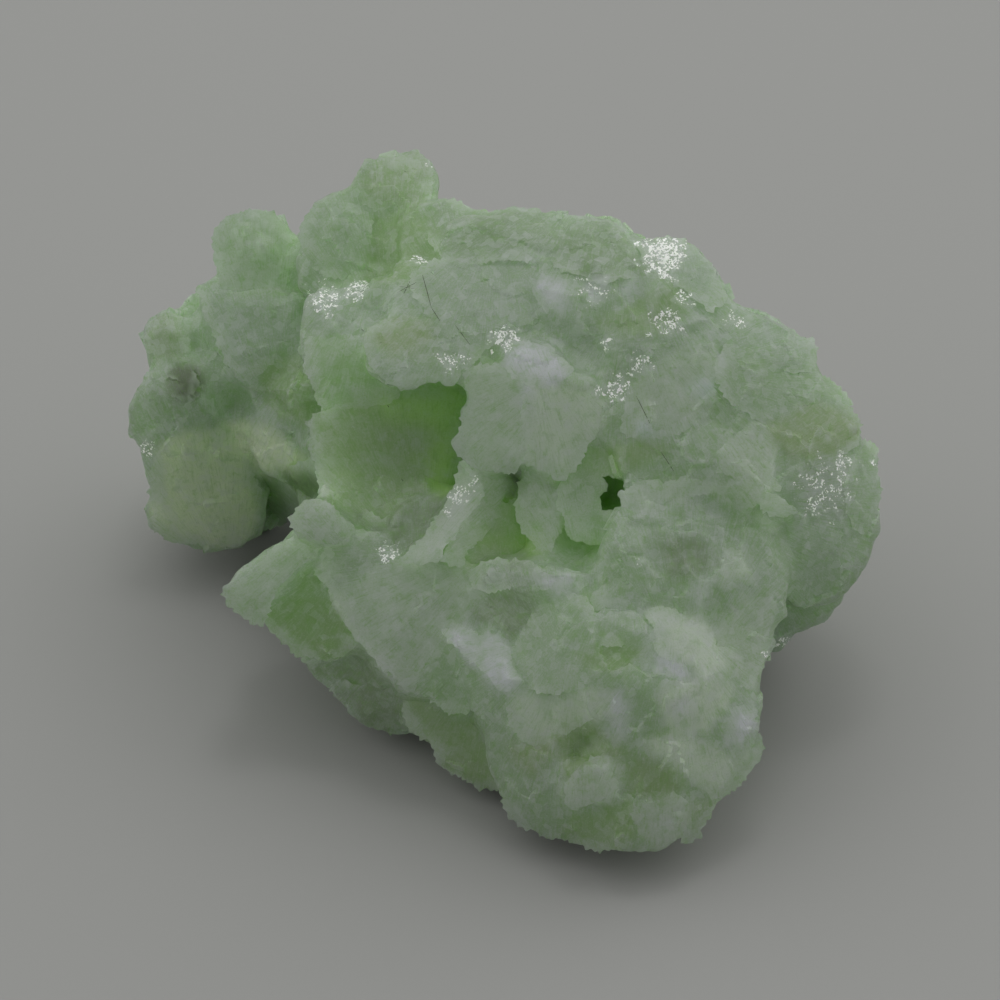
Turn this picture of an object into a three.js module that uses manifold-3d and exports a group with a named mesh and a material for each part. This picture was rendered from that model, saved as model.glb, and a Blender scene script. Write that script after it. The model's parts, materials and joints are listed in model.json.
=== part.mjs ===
// A prehnite cluster: a hand specimen of pale green, cloudy crystals that grew into one another as one stone.
// Rounded lumps make its mass. Broad leaves of crystal, thin at their broken rims, overlap on the side
// that is drawn, and smaller leaves cover the far side. It stands on broken feet that are worn flat.
// Millimetres, +Z up, +Y away from the front, with the origin on the table under the middle.
import * as THREE from 'three';
import { mergeVertices } from 'three/addons/utils/BufferGeometryUtils.js';
import Module from 'manifold-3d';

// Driving dimensions
const sketchHeight = 16; // height of the sketch's middle above the table
const lookDown = THREE.MathUtils.degToRad(40); // the sketch looks down on the cluster at this angle
const eyeDistance = 330; // from the eye to the sketch's middle
const rimEdge = 1.1; // a leaf's thickness at its rim
const deepRoot = 9; // how far a leaf's root runs back behind its table
const longEdge = 3.2; // an outline's edge that is longer than this breaks in two
const roughness = 0.16; // how far a broken rim strays, as a share of each edge's length
const unevenness = 0.16; // how far a lump's skin strays, as a share of its size
const tableShare = 0.5; // size of a leaf's flat table, as a share of its outline
const crownShare = 0.9; // where the facets around the table end, as a share of its outline
const reach = 200; // more than the cluster's size
const goldenAngle = Math.PI * (3 - Math.sqrt(5));

// The leaves on the far side
const farLeaf = {
  corners: 7,
  smallest: 4.2, // radius
  largest: 6.6,
  height: 1.6, // how far the table stands out from the lump
  bulge: 0.9,
  root: 5,
  lift: 0.7, // how far it turns from lying flat
  spacing: 28, // the larger, the fewer leaves
  topRow: 0.9, // where the rows begin and end, as a share of the lump's half height
  bottomRow: -0.85,
  facing: -0.18, // one grows where the skin faces away from the eye by this
  lowest: 2, // no leaf's middle lies lower
};

// The rounded lumps of the mass: middle, half sizes
const lumps = {
  middle: { at: [5, 5, 13], half: [19, 13, 11] },
  ridge: { at: [4, 10, 24], half: [13, 8, 8] },
  dome: { at: [17, 1.4, 16.6], half: [10.6, 10, 9.4] },
  nose: { at: [11, -13, 8], half: [9, 9, 8.8] },
  frontLeft: { at: [-6, -7, 9], half: [8, 7, 7] },
  lobe: { at: [-21, 16.6, 10.6], half: [7.2, 7, 11.2] },
  link: { at: [-11, 12, 14], half: [9, 8, 11] },
  crown: { at: [-9, 17.6, 21.4], half: [7, 6, 9] },
  back: { at: [8, 15, 11], half: [14, 9, 12] },
  rightFoot: { at: [16, 3, 9], half: [9, 9, 9.6] },
  crest: { at: [3, 15.5, 24.5], half: [12, 6, 6.5] },
};

// Swells that fill the mass out towards the eye: middle and half sizes right, up and behind the sketch plane
const swells = {
  overhang: { at: [-3.5, 14, 0.5], half: [9.5, 6.5, 6.3] },
  brow: { at: [7.6, 17, 0.8], half: [10.5, 4.8, 6.3] },
  shoulder: { at: [18, 10.6, 0], half: [6.6, 5, 5.6] },
  cheek: { at: [25, 0, 0], half: [5, 8.5, 5.6] },
  apron: { at: [14.5, -5.5, -6], half: [8.3, 6, 6.4] },
  bridge: { at: [4, -9, -6.5], half: [6.5, 4.6, 4.6] },
  noseSide: { at: [3, -18, -6.6], half: [4.6, 6.6, 5.4] },
  noseTip: { at: [11.4, -23, -9], half: [6, 4, 4.8] },
  ledge: { at: [-6.4, -14.8, 0.2], half: [6, 4.4, 4.6] },
  fanRoot: { at: [-15.6, -7.2, 0.6], half: [4.6, 3.6, 5] },
  wall: { at: [-9, 2, 2.4], half: [6.2, 7.2, 5.6] },
  lobeFoot: { at: [-24, 1.5, 15], half: [4.8, 5, 5] },
  spireRoot: { at: [-8.5, 21, 8.5], half: [3.6, 4.6, 5] },
};

// The leaves that the sketch shows. An outline's points are millimetres right and up of the sketch's
// middle. depth is how far the leaf's middle lies behind the sketch plane, and lean is how much deeper it
// gets for each millimetre to the right and up.
const leaves = {
  // left lobe
  lobeNub: {
    outline: [[-22.2, 16], [-22.3, 19.6], [-21.8, 22.2], [-20.3, 23], [-18.2, 22.9], [-17, 21.9],
      [-16.5, 20], [-16, 16], [-19.2, 14.4]],
    depth: 8, lean: [0, -0.2], bulge: 2,
  },
  lobeUpper: {
    outline: [[-24.3, 16.8], [-22.2, 18.2], [-19.2, 17.6], [-16, 16], [-15, 12.8], [-16.8, 10.2],
      [-20, 8.8], [-22.2, 9.6], [-23.2, 12.4], [-23.7, 14.6]],
    depth: 6, lean: [-0.2, 0.3], bulge: 1,
  },
  lobeKnob: {
    outline: [[-28.6, 13.6], [-28, 14.7], [-26.7, 15.2], [-25.6, 14.9], [-25, 13.8], [-24.6, 11.2],
      [-25.6, 9.6], [-27.6, 10], [-28.3, 12]],
    depth: 8, lean: [0, 0.1], bulge: 1.5,
  },
  lobeCheek: {
    outline: [[-28, 10], [-26, 11.6], [-23.6, 10.8], [-22.2, 9.2], [-22.8, 6.8], [-24.8, 6],
      [-27.2, 6.8], [-28, 8.4]],
    depth: 6.5, lean: [0, 0.2], bulge: 1,
  },
  lobeFoot: {
    outline: [[-29.8, 6.8], [-28.8, 8.4], [-26.4, 8], [-22.8, 6.8], [-19, 4.8], [-19, -3.2],
      [-21.2, -4], [-26, -3.6], [-28, -2.6], [-27.8, 0.8], [-28.8, 3.6], [-29.7, 5.2]],
    depth: 9.5, lean: [0, -0.5], bulge: 1.2,
  },
  lobeShingle: {
    outline: [[-20, 9.2], [-16, 12], [-14.6, 8], [-14, 4.8], [-15.2, 2], [-17.2, 1], [-19, 2.4],
      [-20.4, 5.6]],
    depth: 5.5, lean: [-0.2, 0.2], bulge: 0.8,
  },
  // crown and ridge
  spire: {
    outline: [[-11.8, 25], [-10.8, 27.4], [-9.2, 27.6], [-6.8, 28], [-5.4, 27], [-5, 25.2],
      [-5.4, 22.8], [-5.6, 20.8], [-8.8, 19.2], [-11.6, 20.8], [-12, 23.6]],
    depth: 3.5, lean: [0, 0.1], bulge: 0.8,
  },
  leftShoulder: {
    outline: [[-16.2, 19], [-15.8, 21.6], [-15, 23.7], [-13.2, 24.6], [-11.8, 24.8], [-9.6, 24],
      [-8.8, 19.2], [-10.4, 16], [-14.4, 16], [-16, 16.8]],
    depth: 2.5, lean: [-0.1, 0.3], bulge: 1,
  },
  rightShoulder: {
    outline: [[-6, 23.6], [-4.4, 24], [-2.4, 23.2], [0, 22], [-1.6, 19], [-5.6, 18.4], [-8, 20],
      [-7.6, 22.8]],
    depth: 0, lean: [0, 0.5], bulge: 0.5,
  },
  ridgeLeaf: {
    outline: [[-2.4, 22.8], [0.8, 23.4], [3.6, 23], [8, 22.6], [11.2, 20.8], [12.4, 20], [11.2, 16.8],
      [8, 14.4], [4, 14], [0, 16.8], [-2.8, 19], [-4.8, 20], [-4, 22]],
    depth: -4.5, lean: [0, 0.7], bulge: 0.6,
  },
  // overhang and the recess under it
  overhangLeft: {
    outline: [[-15.4, 16.3], [-12.4, 17.2], [-8.4, 16], [-8, 12.8], [-9.2, 9.2], [-10.8, 7.8],
      [-13.2, 7.6], [-14.6, 8.3], [-15.4, 10.4], [-15.8, 13.6]],
    depth: -4.5, lean: [-0.15, 0.45], bulge: 0.8,
  },
  overhangRight: {
    outline: [[-10.7, 10.2], [-8.4, 9.1], [-7.2, 9], [-5.8, 9.6], [-4.3, 9.8], [-3.8, 9.4],
      [-2.7, 10.6], [-1.3, 12.4], [0.8, 13.6], [3.8, 15], [3.6, 17.2], [0, 19], [-4.8, 19],
      [-8.4, 16.8], [-10.6, 12.4]],
    depth: -7, lean: [-0.05, 0.5], bulge: 0.4,
  },
  recessWall: {
    outline: [[-15, 5.2], [-13.6, 7.2], [-8, 8.4], [-2.8, 9.2], [-2, 8], [-2.8, 5.6], [-3.4, 4],
      [-2.4, 2], [-4.2, 0], [-5.6, -3.2], [-8, -4.8], [-12, -2.8], [-13.6, -1], [-14.4, 2]],
    depth: -4, lean: [0.3, 0.2], bulge: 0.3,
  },
  recessStep: {
    outline: [[-9, -2], [-8.2, -0.6], [-6.8, 0.2], [-4.8, 0.6], [-3.8, 0], [-4.8, -2.4], [-6, -4.5],
      [-8, -5], [-8.8, -3.8]],
    depth: -6.2, lean: [0.1, 0.1], bulge: 0.2,
  },
  // leaves in the middle
  middleLeft: {
    outline: [[-2.6, 10.5], [0, 11], [2.4, 10.8], [3.2, 8], [2.8, 4.8], [1.6, 3], [0, 2],
      [-2.4, 2.6], [-3.2, 3.6], [-3.6, 4.7], [-2.8, 6.4], [-3.1, 7], [-2.2, 8.4]],
    depth: -9, lean: [0, 0.1], bulge: 0.2,
  },
  middleRight: {
    outline: [[2.4, 10.8], [4.8, 9.8], [7.2, 9.1], [8.2, 7.6], [8, 5.4], [6.4, 3.6], [5.9, 2.2],
      [4.4, 1.6], [3, 1.9], [2.4, 3.4], [2.6, 5.6], [2.2, 8]],
    depth: -9.6, lean: [0.1, 0.1], bulge: 0.3,
  },
  middleTop: {
    outline: [[0.4, 12], [1.6, 12.6], [5, 12.2], [5.2, 10.6], [8, 9.8], [7.2, 8.6], [4.8, 8.8],
      [2.8, 9.2], [0.4, 10]],
    depth: -9.4, lean: [0, 0.5], bulge: 0.3,
  },
  rod: {
    outline: [[-2.6, 1.8], [0.4, 2], [0.9, 1], [0.6, -0.4], [-0.3, -1.6], [-1, -3.9], [-1.8, -4.8],
      [-2.8, -4.5], [-4.8, -5.3], [-6.4, -5.2], [-7.5, -4.8], [-6.8, -3.8], [-5.1, -2], [-4, 0.2]],
    depth: -8.2, lean: [0.2, 0.1], bulge: 1.1,
  },
  underMiddle: {
    outline: [[1.6, 1.2], [4.8, 1.8], [6, 2.4], [7.2, 1.6], [8, -0.8], [6, -3.2], [3.2, -4.8],
      [2, -2.4], [2.2, -0.4]],
    depth: -8.4, lean: [0.1, 0.2], bulge: 0.4,
  },
  // dome on the right
  domeTop: {
    outline: [[8.8, 22.7], [12, 20], [15.2, 20.6], [16.4, 19.4], [18.1, 17.4], [18.6, 15.8],
      [21, 14.7], [23.2, 13.6], [24, 11.2], [20.8, 8], [16, 7.2], [11.2, 9.6], [8, 13.6],
      [7.6, 18.4]],
    depth: -7.2, lean: [0.15, 0.5], bulge: 1.4,
  },
  domeCrest: {
    outline: [[11.2, 20.6], [13.2, 20.8], [15.4, 20.6], [16.5, 19.4], [17.4, 18], [16, 16.8],
      [13.2, 18], [11.6, 19]],
    depth: -5, lean: [0.1, 0.7], bulge: 0.3,
  },
  domeShoulder: {
    outline: [[18.6, 15.8], [21.2, 14.6], [23.4, 13.5], [25, 12.6], [25.6, 10.2], [26.8, 8.5],
      [28.4, 6.9], [29, 5.4], [27.2, 4], [23.2, 3.2], [20, 5.6], [18.8, 8.8], [18, 12.8]],
    depth: -6.2, lean: [0.35, 0.5], bulge: 1,
  },
  domeCheek: {
    outline: [[23.2, 7.6], [26.8, 8], [29, 6], [29.3, 4.4], [30.1, 3.2], [30.6, 0.6], [30.5, -2.4],
      [29.8, -4.8], [28.4, -7], [27, -8.3], [24, -9], [21.6, -6.4], [21.2, -1.6], [22, 4]],
    depth: -7, lean: [0.45, 0.05], bulge: 1.6,
  },
  domeFlange: {
    outline: [[28, -7], [27.4, -8.5], [25.8, -10], [23.6, -10.6], [22.6, -12.4], [21.2, -12.2],
      [20.4, -9.4], [24, -6]],
    depth: -0.5, lean: [0.2, -0.4], bulge: 0.4,
  },
  domeLeaf: {
    outline: [[8, 13.6], [12.8, 12.4], [17.6, 10.4], [20.8, 8], [22, 4], [21.6, 0], [19.6, -1],
      [15.2, 1.2], [12, 1.8], [9.6, 2.4], [8, 4.8], [8.2, 7.6], [7.2, 9.6], [5.2, 12]],
    depth: -9.5, lean: [0.08, 0.35], bulge: 0.9,
  },
  domeApron: {
    outline: [[8.8, -2], [10, 0.4], [12, 1.7], [15.2, 1.1], [17.8, 0.9], [19.7, -1], [22, -2.4],
      [23.2, -5.6], [23.2, -9.6], [20.8, -11.2], [16, -11.2], [11.2, -9.6], [8, -8], [7.8, -4.8]],
    depth: -12.2, lean: [0.25, 0.25], bulge: 1.2,
  },
  // front left
  frontLeaf: {
    outline: [[-13.6, -3.2], [-12, -2.6], [-9.4, -2.9], [-8.2, -5.2], [-4.8, -5.3], [-0.8, -4.8],
      [0, -8], [0.4, -11.2], [-0.8, -14.4], [-2.4, -16], [-4.8, -16.4], [-8, -15.6],
      [-9.8, -13.4], [-12, -10.4], [-13.6, -8], [-14.9, -5]],
    depth: -8.8, lean: [-0.2, 0.1], bulge: 0.7,
  },
  fan: {
    outline: [[-16.6, -2.6], [-19, -4.8], [-20.8, -5.9], [-21.9, -7.4], [-21.7, -8.4], [-20, -9.1],
      [-19, -9], [-18, -10.4], [-16, -12.4], [-13.6, -13.2], [-11.6, -12.4], [-10.8, -11.2],
      [-12.4, -8], [-13.6, -5.6], [-14.6, -3.6]],
    depth: -5.6, lean: [-0.1, 0.1], bulge: 0.4,
  },
  fanBand: {
    outline: [[-21.9, -7.4], [-20.8, -5.9], [-19, -4.6], [-16.3, -3], [-14.4, -4.4], [-16, -6],
      [-18, -7.4], [-19.4, -9], [-21.2, -8.5]],
    depth: -7, lean: [-0.1, 0.2], bulge: 0.4,
  },
  ruffledNub: {
    outline: [[-16.6, -1.6], [-16.2, -0.6], [-15.4, -0.2], [-14.2, -0.2], [-13.4, -1], [-12.4, -2.2],
      [-11.8, -3.2], [-13.6, -3.8], [-15.6, -3.2], [-16.5, -2.6]],
    depth: -9, lean: [0, 0.2], bulge: 0.9,
  },
  ledgeLeft: {
    outline: [[-16, -12], [-13.6, -11.6], [-10.4, -12.4], [-8, -14], [-7, -17.8], [-8.4, -18.8],
      [-9.8, -18.6], [-11.4, -18.2], [-12.8, -16.2], [-14.8, -14.4]],
    depth: -2.6, lean: [-0.1, -0.2], bulge: 0.6,
  },
  ledgeRight: {
    outline: [[-8, -14], [-4.8, -14], [-1.6, -15], [0, -19.6], [0.4, -23.2], [-1.2, -23.8],
      [-2.2, -23], [-3.2, -22], [-4.4, -21.6], [-4.8, -20.4], [-6, -19.6], [-7.2, -18.4]],
    depth: -5.8, lean: [-0.2, -0.1], bulge: 0.5,
  },
  // nose at the front
  noseBridge: {
    outline: [[-0.8, -4.8], [3.6, -4.5], [8, -4.8], [11.2, -8], [12, -12], [8, -14.4], [3.2, -12.8],
      [0, -11.2], [-1.8, -8]],
    depth: -12, lean: [-0.1, 0.4], bulge: 0.8,
  },
  noseLip: {
    outline: [[-1, -5.4], [1.6, -4.8], [4.8, -5.3], [6.6, -6], [6, -7.2], [3.6, -8], [0.8, -7.4],
      [-1.4, -6.8]],
    depth: -12.4, lean: [-0.2, 0.3], bulge: 0.4,
  },
  noseTop: {
    outline: [[4.8, -8], [11.2, -8], [16, -11.2], [16.8, -15.2], [12.8, -18.4], [8, -17.6],
      [4.8, -14.4]],
    depth: -15.6, lean: [0, 0.3], bulge: 0.8,
  },
  noseLeft: {
    outline: [[-4.2, -10.6], [0, -11.2], [4.8, -12], [8, -15.2], [8.8, -19.2], [8, -24], [7.2, -27.6],
      [3.6, -27.3], [1.6, -25.6], [0, -23.6], [-1, -20.8], [-2, -17.6], [-2.4, -15.2]],
    depth: -13.2, lean: [-0.3, -0.1], bulge: 1.6,
  },
  noseRight: {
    outline: [[8, -11.2], [14.4, -10.4], [22.2, -11.2], [21.4, -13.2], [21, -16], [20.6, -19.4],
      [19.6, -21.6], [17.6, -24], [15.2, -27.2], [12.4, -28.6], [8.8, -28], [8, -24],
      [7.2, -17.6]],
    depth: -15, lean: [0.25, -0.05], bulge: 2.6,
  },
  noseLump: {
    outline: [[4.8, -23.2], [5.3, -21.6], [7.2, -20.6], [9.2, -20.6], [10, -22], [9.6, -23.6],
      [8, -24.6], [6, -24.5]],
    depth: -15.4, lean: [0, 0], bulge: 0.6,
  },
  noseChin: {
    outline: [[10.6, -24.8], [12, -23.6], [14.4, -24], [15.4, -25.6], [13.8, -27.8], [11.6, -28.2]],
    depth: -14.6, lean: [0, -0.3], bulge: 0.7,
  },
};

// Hollows in the mass that leaves stand over: middle on the sketch, depth, half sizes across and deep
const hollows = {
  recess: { at: [-3.4, 5, -5], half: [5, 4, 6] },
  underRod: { at: [0.6, -1.6, -7], half: [2.6, 3.6, 8] },
  pinhole: { at: [1.2, 1.4, -8], half: [1, 1.6, 7] },
  betweenLobes: { at: [-17, -1, 6], half: [3.2, 4, 9] },
  noseHollow: { at: [6.4, -20, -14], half: [3, 3, 4] },
};

const wasm = await Module();
wasm.setup();

// A repeatable number from 0 to 1 for a seed and a step.
function chance(seed, step) {
  const wave = Math.sin(seed * 12.9898 + step * 78.233) * 43758.5453;
  return wave - Math.floor(wave);
}

// The world point that the sketch shows at right and up, at a depth behind the sketch plane.
function fromSketch(right, up, depth) {
  const spread = 1 + depth / eyeDistance;
  return new THREE.Vector3(
    right * spread,
    up * spread * Math.sin(lookDown) + depth * Math.cos(lookDown),
    sketchHeight + up * spread * Math.cos(lookDown) - depth * Math.sin(lookDown),
  );
}

// Puts a point in the middle of each long edge, off to one side, so that the rim looks broken.
function brokenRim(outline, seed) {
  return outline.flatMap(([right, up], i) => {
    const [nextRight, nextUp] = outline[(i + 1) % outline.length];
    if (Math.hypot(nextRight - right, nextUp - up) < longEdge) return [[right, up]];
    const stray = (chance(seed, i) - 0.5) * 2 * roughness;
    return [
      [right, up],
      [
        (right + nextRight) / 2 + (nextUp - up) * stray,
        (up + nextUp) / 2 - (nextRight - right) * stray,
      ],
    ];
  });
}

// The middle of an outline, with each edge counting by its length.
function outlineMiddle(outline) {
  const sum = [0, 0, 0];
  outline.forEach(([right, up], i) => {
    const [nextRight, nextUp] = outline[(i + 1) % outline.length];
    const length = Math.hypot(nextRight - right, nextUp - up);
    sum[0] += length * (right + nextRight) / 2;
    sum[1] += length * (up + nextUp) / 2;
    sum[2] += length;
  });
  return [sum[0] / sum[2], sum[1] / sum[2]];
}

// A closed geometry as a solid that can be joined and cut.
function solidOf(geometry) {
  geometry.deleteAttribute('normal');
  geometry.deleteAttribute('uv');
  const { attributes, index } = mergeVertices(geometry, 1e-4);
  return new wasm.Manifold(new wasm.Mesh({
    numProp: 3,
    vertProperties: new Float32Array(attributes.position.array),
    triVerts: new Uint32Array(index.array),
  }));
}

// A closed geometry from points and triangles, turned so that its faces look out.
function geometryOf(points, triangles) {
  const sixTimesVolume = triangles.reduce((sum, [a, b, c]) => (
    sum + points[a].dot(new THREE.Vector3().crossVectors(points[b], points[c]))
  ), 0);
  const outward = sixTimesVolume > 0 ? triangles : triangles.map(([a, b, c]) => [a, c, b]);
  return new THREE.BufferGeometry().setFromPoints(points).setIndex(outward.flat());
}

// A leaf of crystal with a flat table, sides that fall away from it in flat facets, a broken rim that
// drops by edge, and a root that runs back to a point. place turns (right, up, depth) into a world point.
function leafSolid({ outline, depth, lean, bulge, root = deepRoot, edge = rimEdge }, seed, place) {
  const [midRight, midUp] = outlineMiddle(outline);
  const rim = brokenRim(outline, seed);
  const count = rim.length;
  const facets = Math.max(4, Math.min(6, Math.floor(count / 2)));
  const inward = ([right, up], share) => [
    midRight + (right - midRight) * share,
    midUp + (up - midUp) * share,
  ];
  const put = ([right, up], intoLeaf) => place(
    right, up, depth + (right - midRight) * lean[0] + (up - midUp) * lean[1] + intoLeaf,
  );
  const firstOf = (facet) => Math.floor(facet * count / facets);
  const table = [];
  for (let facet = 0; facet < facets; facet += 1) {
    table.push(inward(rim[firstOf(facet)], tableShare * (0.8 + 0.4 * chance(seed + 3, facet))));
  }
  const crown = rim.map((p) => inward(p, edge > 0 ? crownShare : 1));
  const fall = [];
  for (let facet = 0; facet < facets; facet += 1) {
    const [a, b] = [table[facet], table[(facet + 1) % facets]];
    const side = [b[0] - a[0], b[1] - a[1]];
    const beyond = (p) => Math.abs((p[0] - a[0]) * side[1] - (p[1] - a[1]) * side[0]) / Math.hypot(...side);
    const members = crown.slice(firstOf(facet), firstOf(facet + 1));
    const reach = members.reduce((sum, p) => sum + beyond(p), 0) / members.length;
    const slope = bulge * (0.5 + chance(seed + 5, facet)) / reach;
    members.forEach((p) => fall.push(slope * beyond(p)));
  }
  const points = [put([midRight, midUp], root), ...table.map((p) => put(p, 0))];
  const triangles = [];
  const [rootAt, tableAt, crownAt] = [0, 1, 1 + facets];
  points.push(...crown.map((p, i) => put(p, fall[i])));
  for (let facet = 1; facet < facets - 1; facet += 1) {
    triangles.push([tableAt, tableAt + facet, tableAt + facet + 1]);
  }
  for (let facet = 0; facet < facets; facet += 1) {
    for (let i = firstOf(facet); i < firstOf(facet + 1); i += 1) {
      triangles.push([tableAt + facet, crownAt + i, crownAt + (i + 1) % count]);
    }
    triangles.push([tableAt + facet, crownAt + firstOf(facet + 1) % count, tableAt + (facet + 1) % facets]);
  }
  let rimAt = crownAt;
  if (edge > 0) {
    rimAt += count;
    points.push(...rim.map((p, i) => put(p, fall[i] + edge)));
    for (let i = 0; i < count; i += 1) {
      const j = (i + 1) % count;
      triangles.push([crownAt + i, rimAt + i, rimAt + j], [crownAt + i, rimAt + j, crownAt + j]);
    }
  }
  for (let i = 0; i < count; i += 1) triangles.push([rootAt, rimAt + (i + 1) % count, rimAt + i]);
  return solidOf(geometryOf(points, triangles));
}

// A rounded lump with an uneven, faceted skin. place turns a point of the unit ball into a world point.
function lumpSolid(seed, place) {
  const ball = new THREE.DodecahedronGeometry(1.1);
  ball.deleteAttribute('normal');
  ball.deleteAttribute('uv');
  const { attributes, index } = mergeVertices(ball, 1e-4);
  const points = [];
  for (let i = 0; i < attributes.position.count; i += 1) {
    const p = new THREE.Vector3().fromBufferAttribute(attributes.position, i);
    points.push(place(p.multiplyScalar(1 + (chance(seed, i) - 0.5) * unevenness)));
  }
  const triangles = [];
  for (let i = 0; i < index.count; i += 3) triangles.push([0, 1, 2].map((k) => index.getX(i + k)));
  return solidOf(geometryOf(points, triangles));
}

function massLump({ at, half }, seed) {
  const middle = new THREE.Vector3(...at);
  const stretch = new THREE.Vector3(...half);
  return lumpSolid(seed, (p) => p.multiply(stretch).add(middle));
}

function sketchLump({ at, half }, seed) {
  return lumpSolid(seed, (p) => (
    fromSketch(at[0] + p.x * half[0], at[1] + p.y * half[1], at[2] + p.z * half[2])
  ));
}

// Whether a point lies well inside a lump.
function isInside(point, { at, half }) {
  return new THREE.Vector3(...at).sub(point).divide(new THREE.Vector3(...half)).length() < 0.9;
}

// An outline around (0, 0) whose corners lie unevenly far out.
function unevenOutline(size, seed) {
  return Array.from({ length: farLeaf.corners }, (_, corner) => {
    const angle = 2 * Math.PI * corner / farLeaf.corners;
    const radius = size * (0.75 + 0.5 * chance(seed, corner));
    return [radius * Math.cos(angle), radius * Math.sin(angle)];
  });
}

// A leaf that lies at foot, square to a direction that is turned a little from normal.
function leafLyingAt(foot, normal, size, seed) {
  const stray = new THREE.Vector3(chance(seed, 20), chance(seed, 40), chance(seed, 60)).subScalar(0.5);
  const outward = normal.clone().addScaledVector(stray, farLeaf.lift).normalize();
  const right = new THREE.Vector3(0, 0, 1).cross(outward).normalize();
  const up = new THREE.Vector3().crossVectors(outward, right);
  const leaf = {
    outline: unevenOutline(size, seed),
    depth: -farLeaf.height,
    lean: [0, 0],
    bulge: farLeaf.bulge,
    root: farLeaf.root,
    edge: 0,
  };
  return leafSolid(leaf, seed, (r, u, depth) => (
    foot.clone().addScaledVector(right, r).addScaledVector(up, u).addScaledVector(outward, -depth)
  ));
}

// Leaves on the side of one lump that the sketch doesn't show, turned from one to the next by the golden
// angle. None grows where another lump covers the skin, or close to the table.
function farLeaves(name, seed) {
  const middle = new THREE.Vector3(...lumps[name].at);
  const half = new THREE.Vector3(...lumps[name].half);
  const others = Object.keys(lumps).filter((other) => other !== name).map((other) => lumps[other]);
  const towardsEye = new THREE.Vector3(0, -Math.cos(lookDown), Math.sin(lookDown));
  const count = Math.round((half.x * half.y + half.y * half.z + half.z * half.x) / farLeaf.spacing);
  const solids = [];
  for (let i = 0; i < count; i += 1) {
    const height = THREE.MathUtils.lerp(farLeaf.topRow, farLeaf.bottomRow, (i + 0.5) / count);
    const turn = goldenAngle * i + seed;
    const across = Math.sqrt(1 - height * height);
    const out = new THREE.Vector3(across * Math.cos(turn), across * Math.sin(turn), height);
    const foot = out.clone().multiply(half).add(middle);
    const normal = out.clone().divide(half).normalize();
    const shown = normal.dot(towardsEye) > farLeaf.facing;
    const covered = others.some((lump) => isInside(foot, lump));
    if (!shown && !covered && foot.z > farLeaf.lowest) {
      const size = THREE.MathUtils.lerp(farLeaf.smallest, farLeaf.largest, chance(seed, i));
      solids.push(leafLyingAt(foot, normal, size, seed + i));
    }
  }
  return solids;
}

// The part of a solid above the table.
function aboveTable(solid) {
  return solid.intersect(solidOf(new THREE.BoxGeometry(reach, reach, reach).translate(0, 0, reach / 2)));
}

// The skin of a solid's biggest body as a geometry. Sealed hollows and loose flakes are left out.
function mainSkin(solid) {
  const { vertProperties, triVerts } = solid.getMesh();
  const leader = Array.from({ length: vertProperties.length / 3 }, (_, i) => i);
  const leaderOf = (i) => {
    let at = i;
    while (leader[at] !== at) at = leader[at];
    leader[i] = at;
    return at;
  };
  for (let i = 0; i < triVerts.length; i += 3) {
    leader[leaderOf(triVerts[i + 1])] = leaderOf(triVerts[i]);
    leader[leaderOf(triVerts[i + 2])] = leaderOf(triVerts[i]);
  }
  const bodies = new Map();
  for (let i = 0; i < triVerts.length; i += 3) {
    const body = leaderOf(triVerts[i]);
    if (!bodies.has(body)) bodies.set(body, []);
    bodies.get(body).push(triVerts[i], triVerts[i + 1], triVerts[i + 2]);
  }
  const biggest = [...bodies.values()].reduce((best, body) => (body.length > best.length ? body : best));
  const geometry = new THREE.BufferGeometry();
  geometry.setAttribute('position', new THREE.BufferAttribute(vertProperties, 3));
  return mergeVertices(geometry.setIndex(biggest).toNonIndexed(), 1e-5);
}

const mass = wasm.Manifold.union([
  ...Object.values(lumps).map(massLump),
  ...Object.values(swells).map(sketchLump),
]).subtract(wasm.Manifold.union(Object.values(hollows).map(sketchLump)));
const drawn = Object.values(leaves).map((leaf, i) => leafSolid(leaf, i + 1, fromSketch));
const hidden = Object.keys(lumps).flatMap((name, i) => farLeaves(name, i + 1));
const grown = wasm.Manifold.union([mass, ...drawn, ...hidden]);

const skin = mainSkin(aboveTable(grown));
skin.computeBoundingBox();
const middle = skin.boundingBox.getCenter(new THREE.Vector3());
skin.translate(-middle.x, -middle.y, 0);

const prehnite = new THREE.MeshStandardMaterial({ color: 0xa6c8a2, roughness: 0.35, metalness: 0 });
const cluster = new THREE.Mesh(skin, prehnite);
cluster.name = 'prehnite_cluster';

const specimen = new THREE.Group();
specimen.add(cluster);
export default specimen;
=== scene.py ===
import bpy
import bmesh
import json
import math
import numpy as np
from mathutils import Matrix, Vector
from mathutils.bvhtree import BVHTree
from mathutils.geometry import delaunay_2d_cdt

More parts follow.
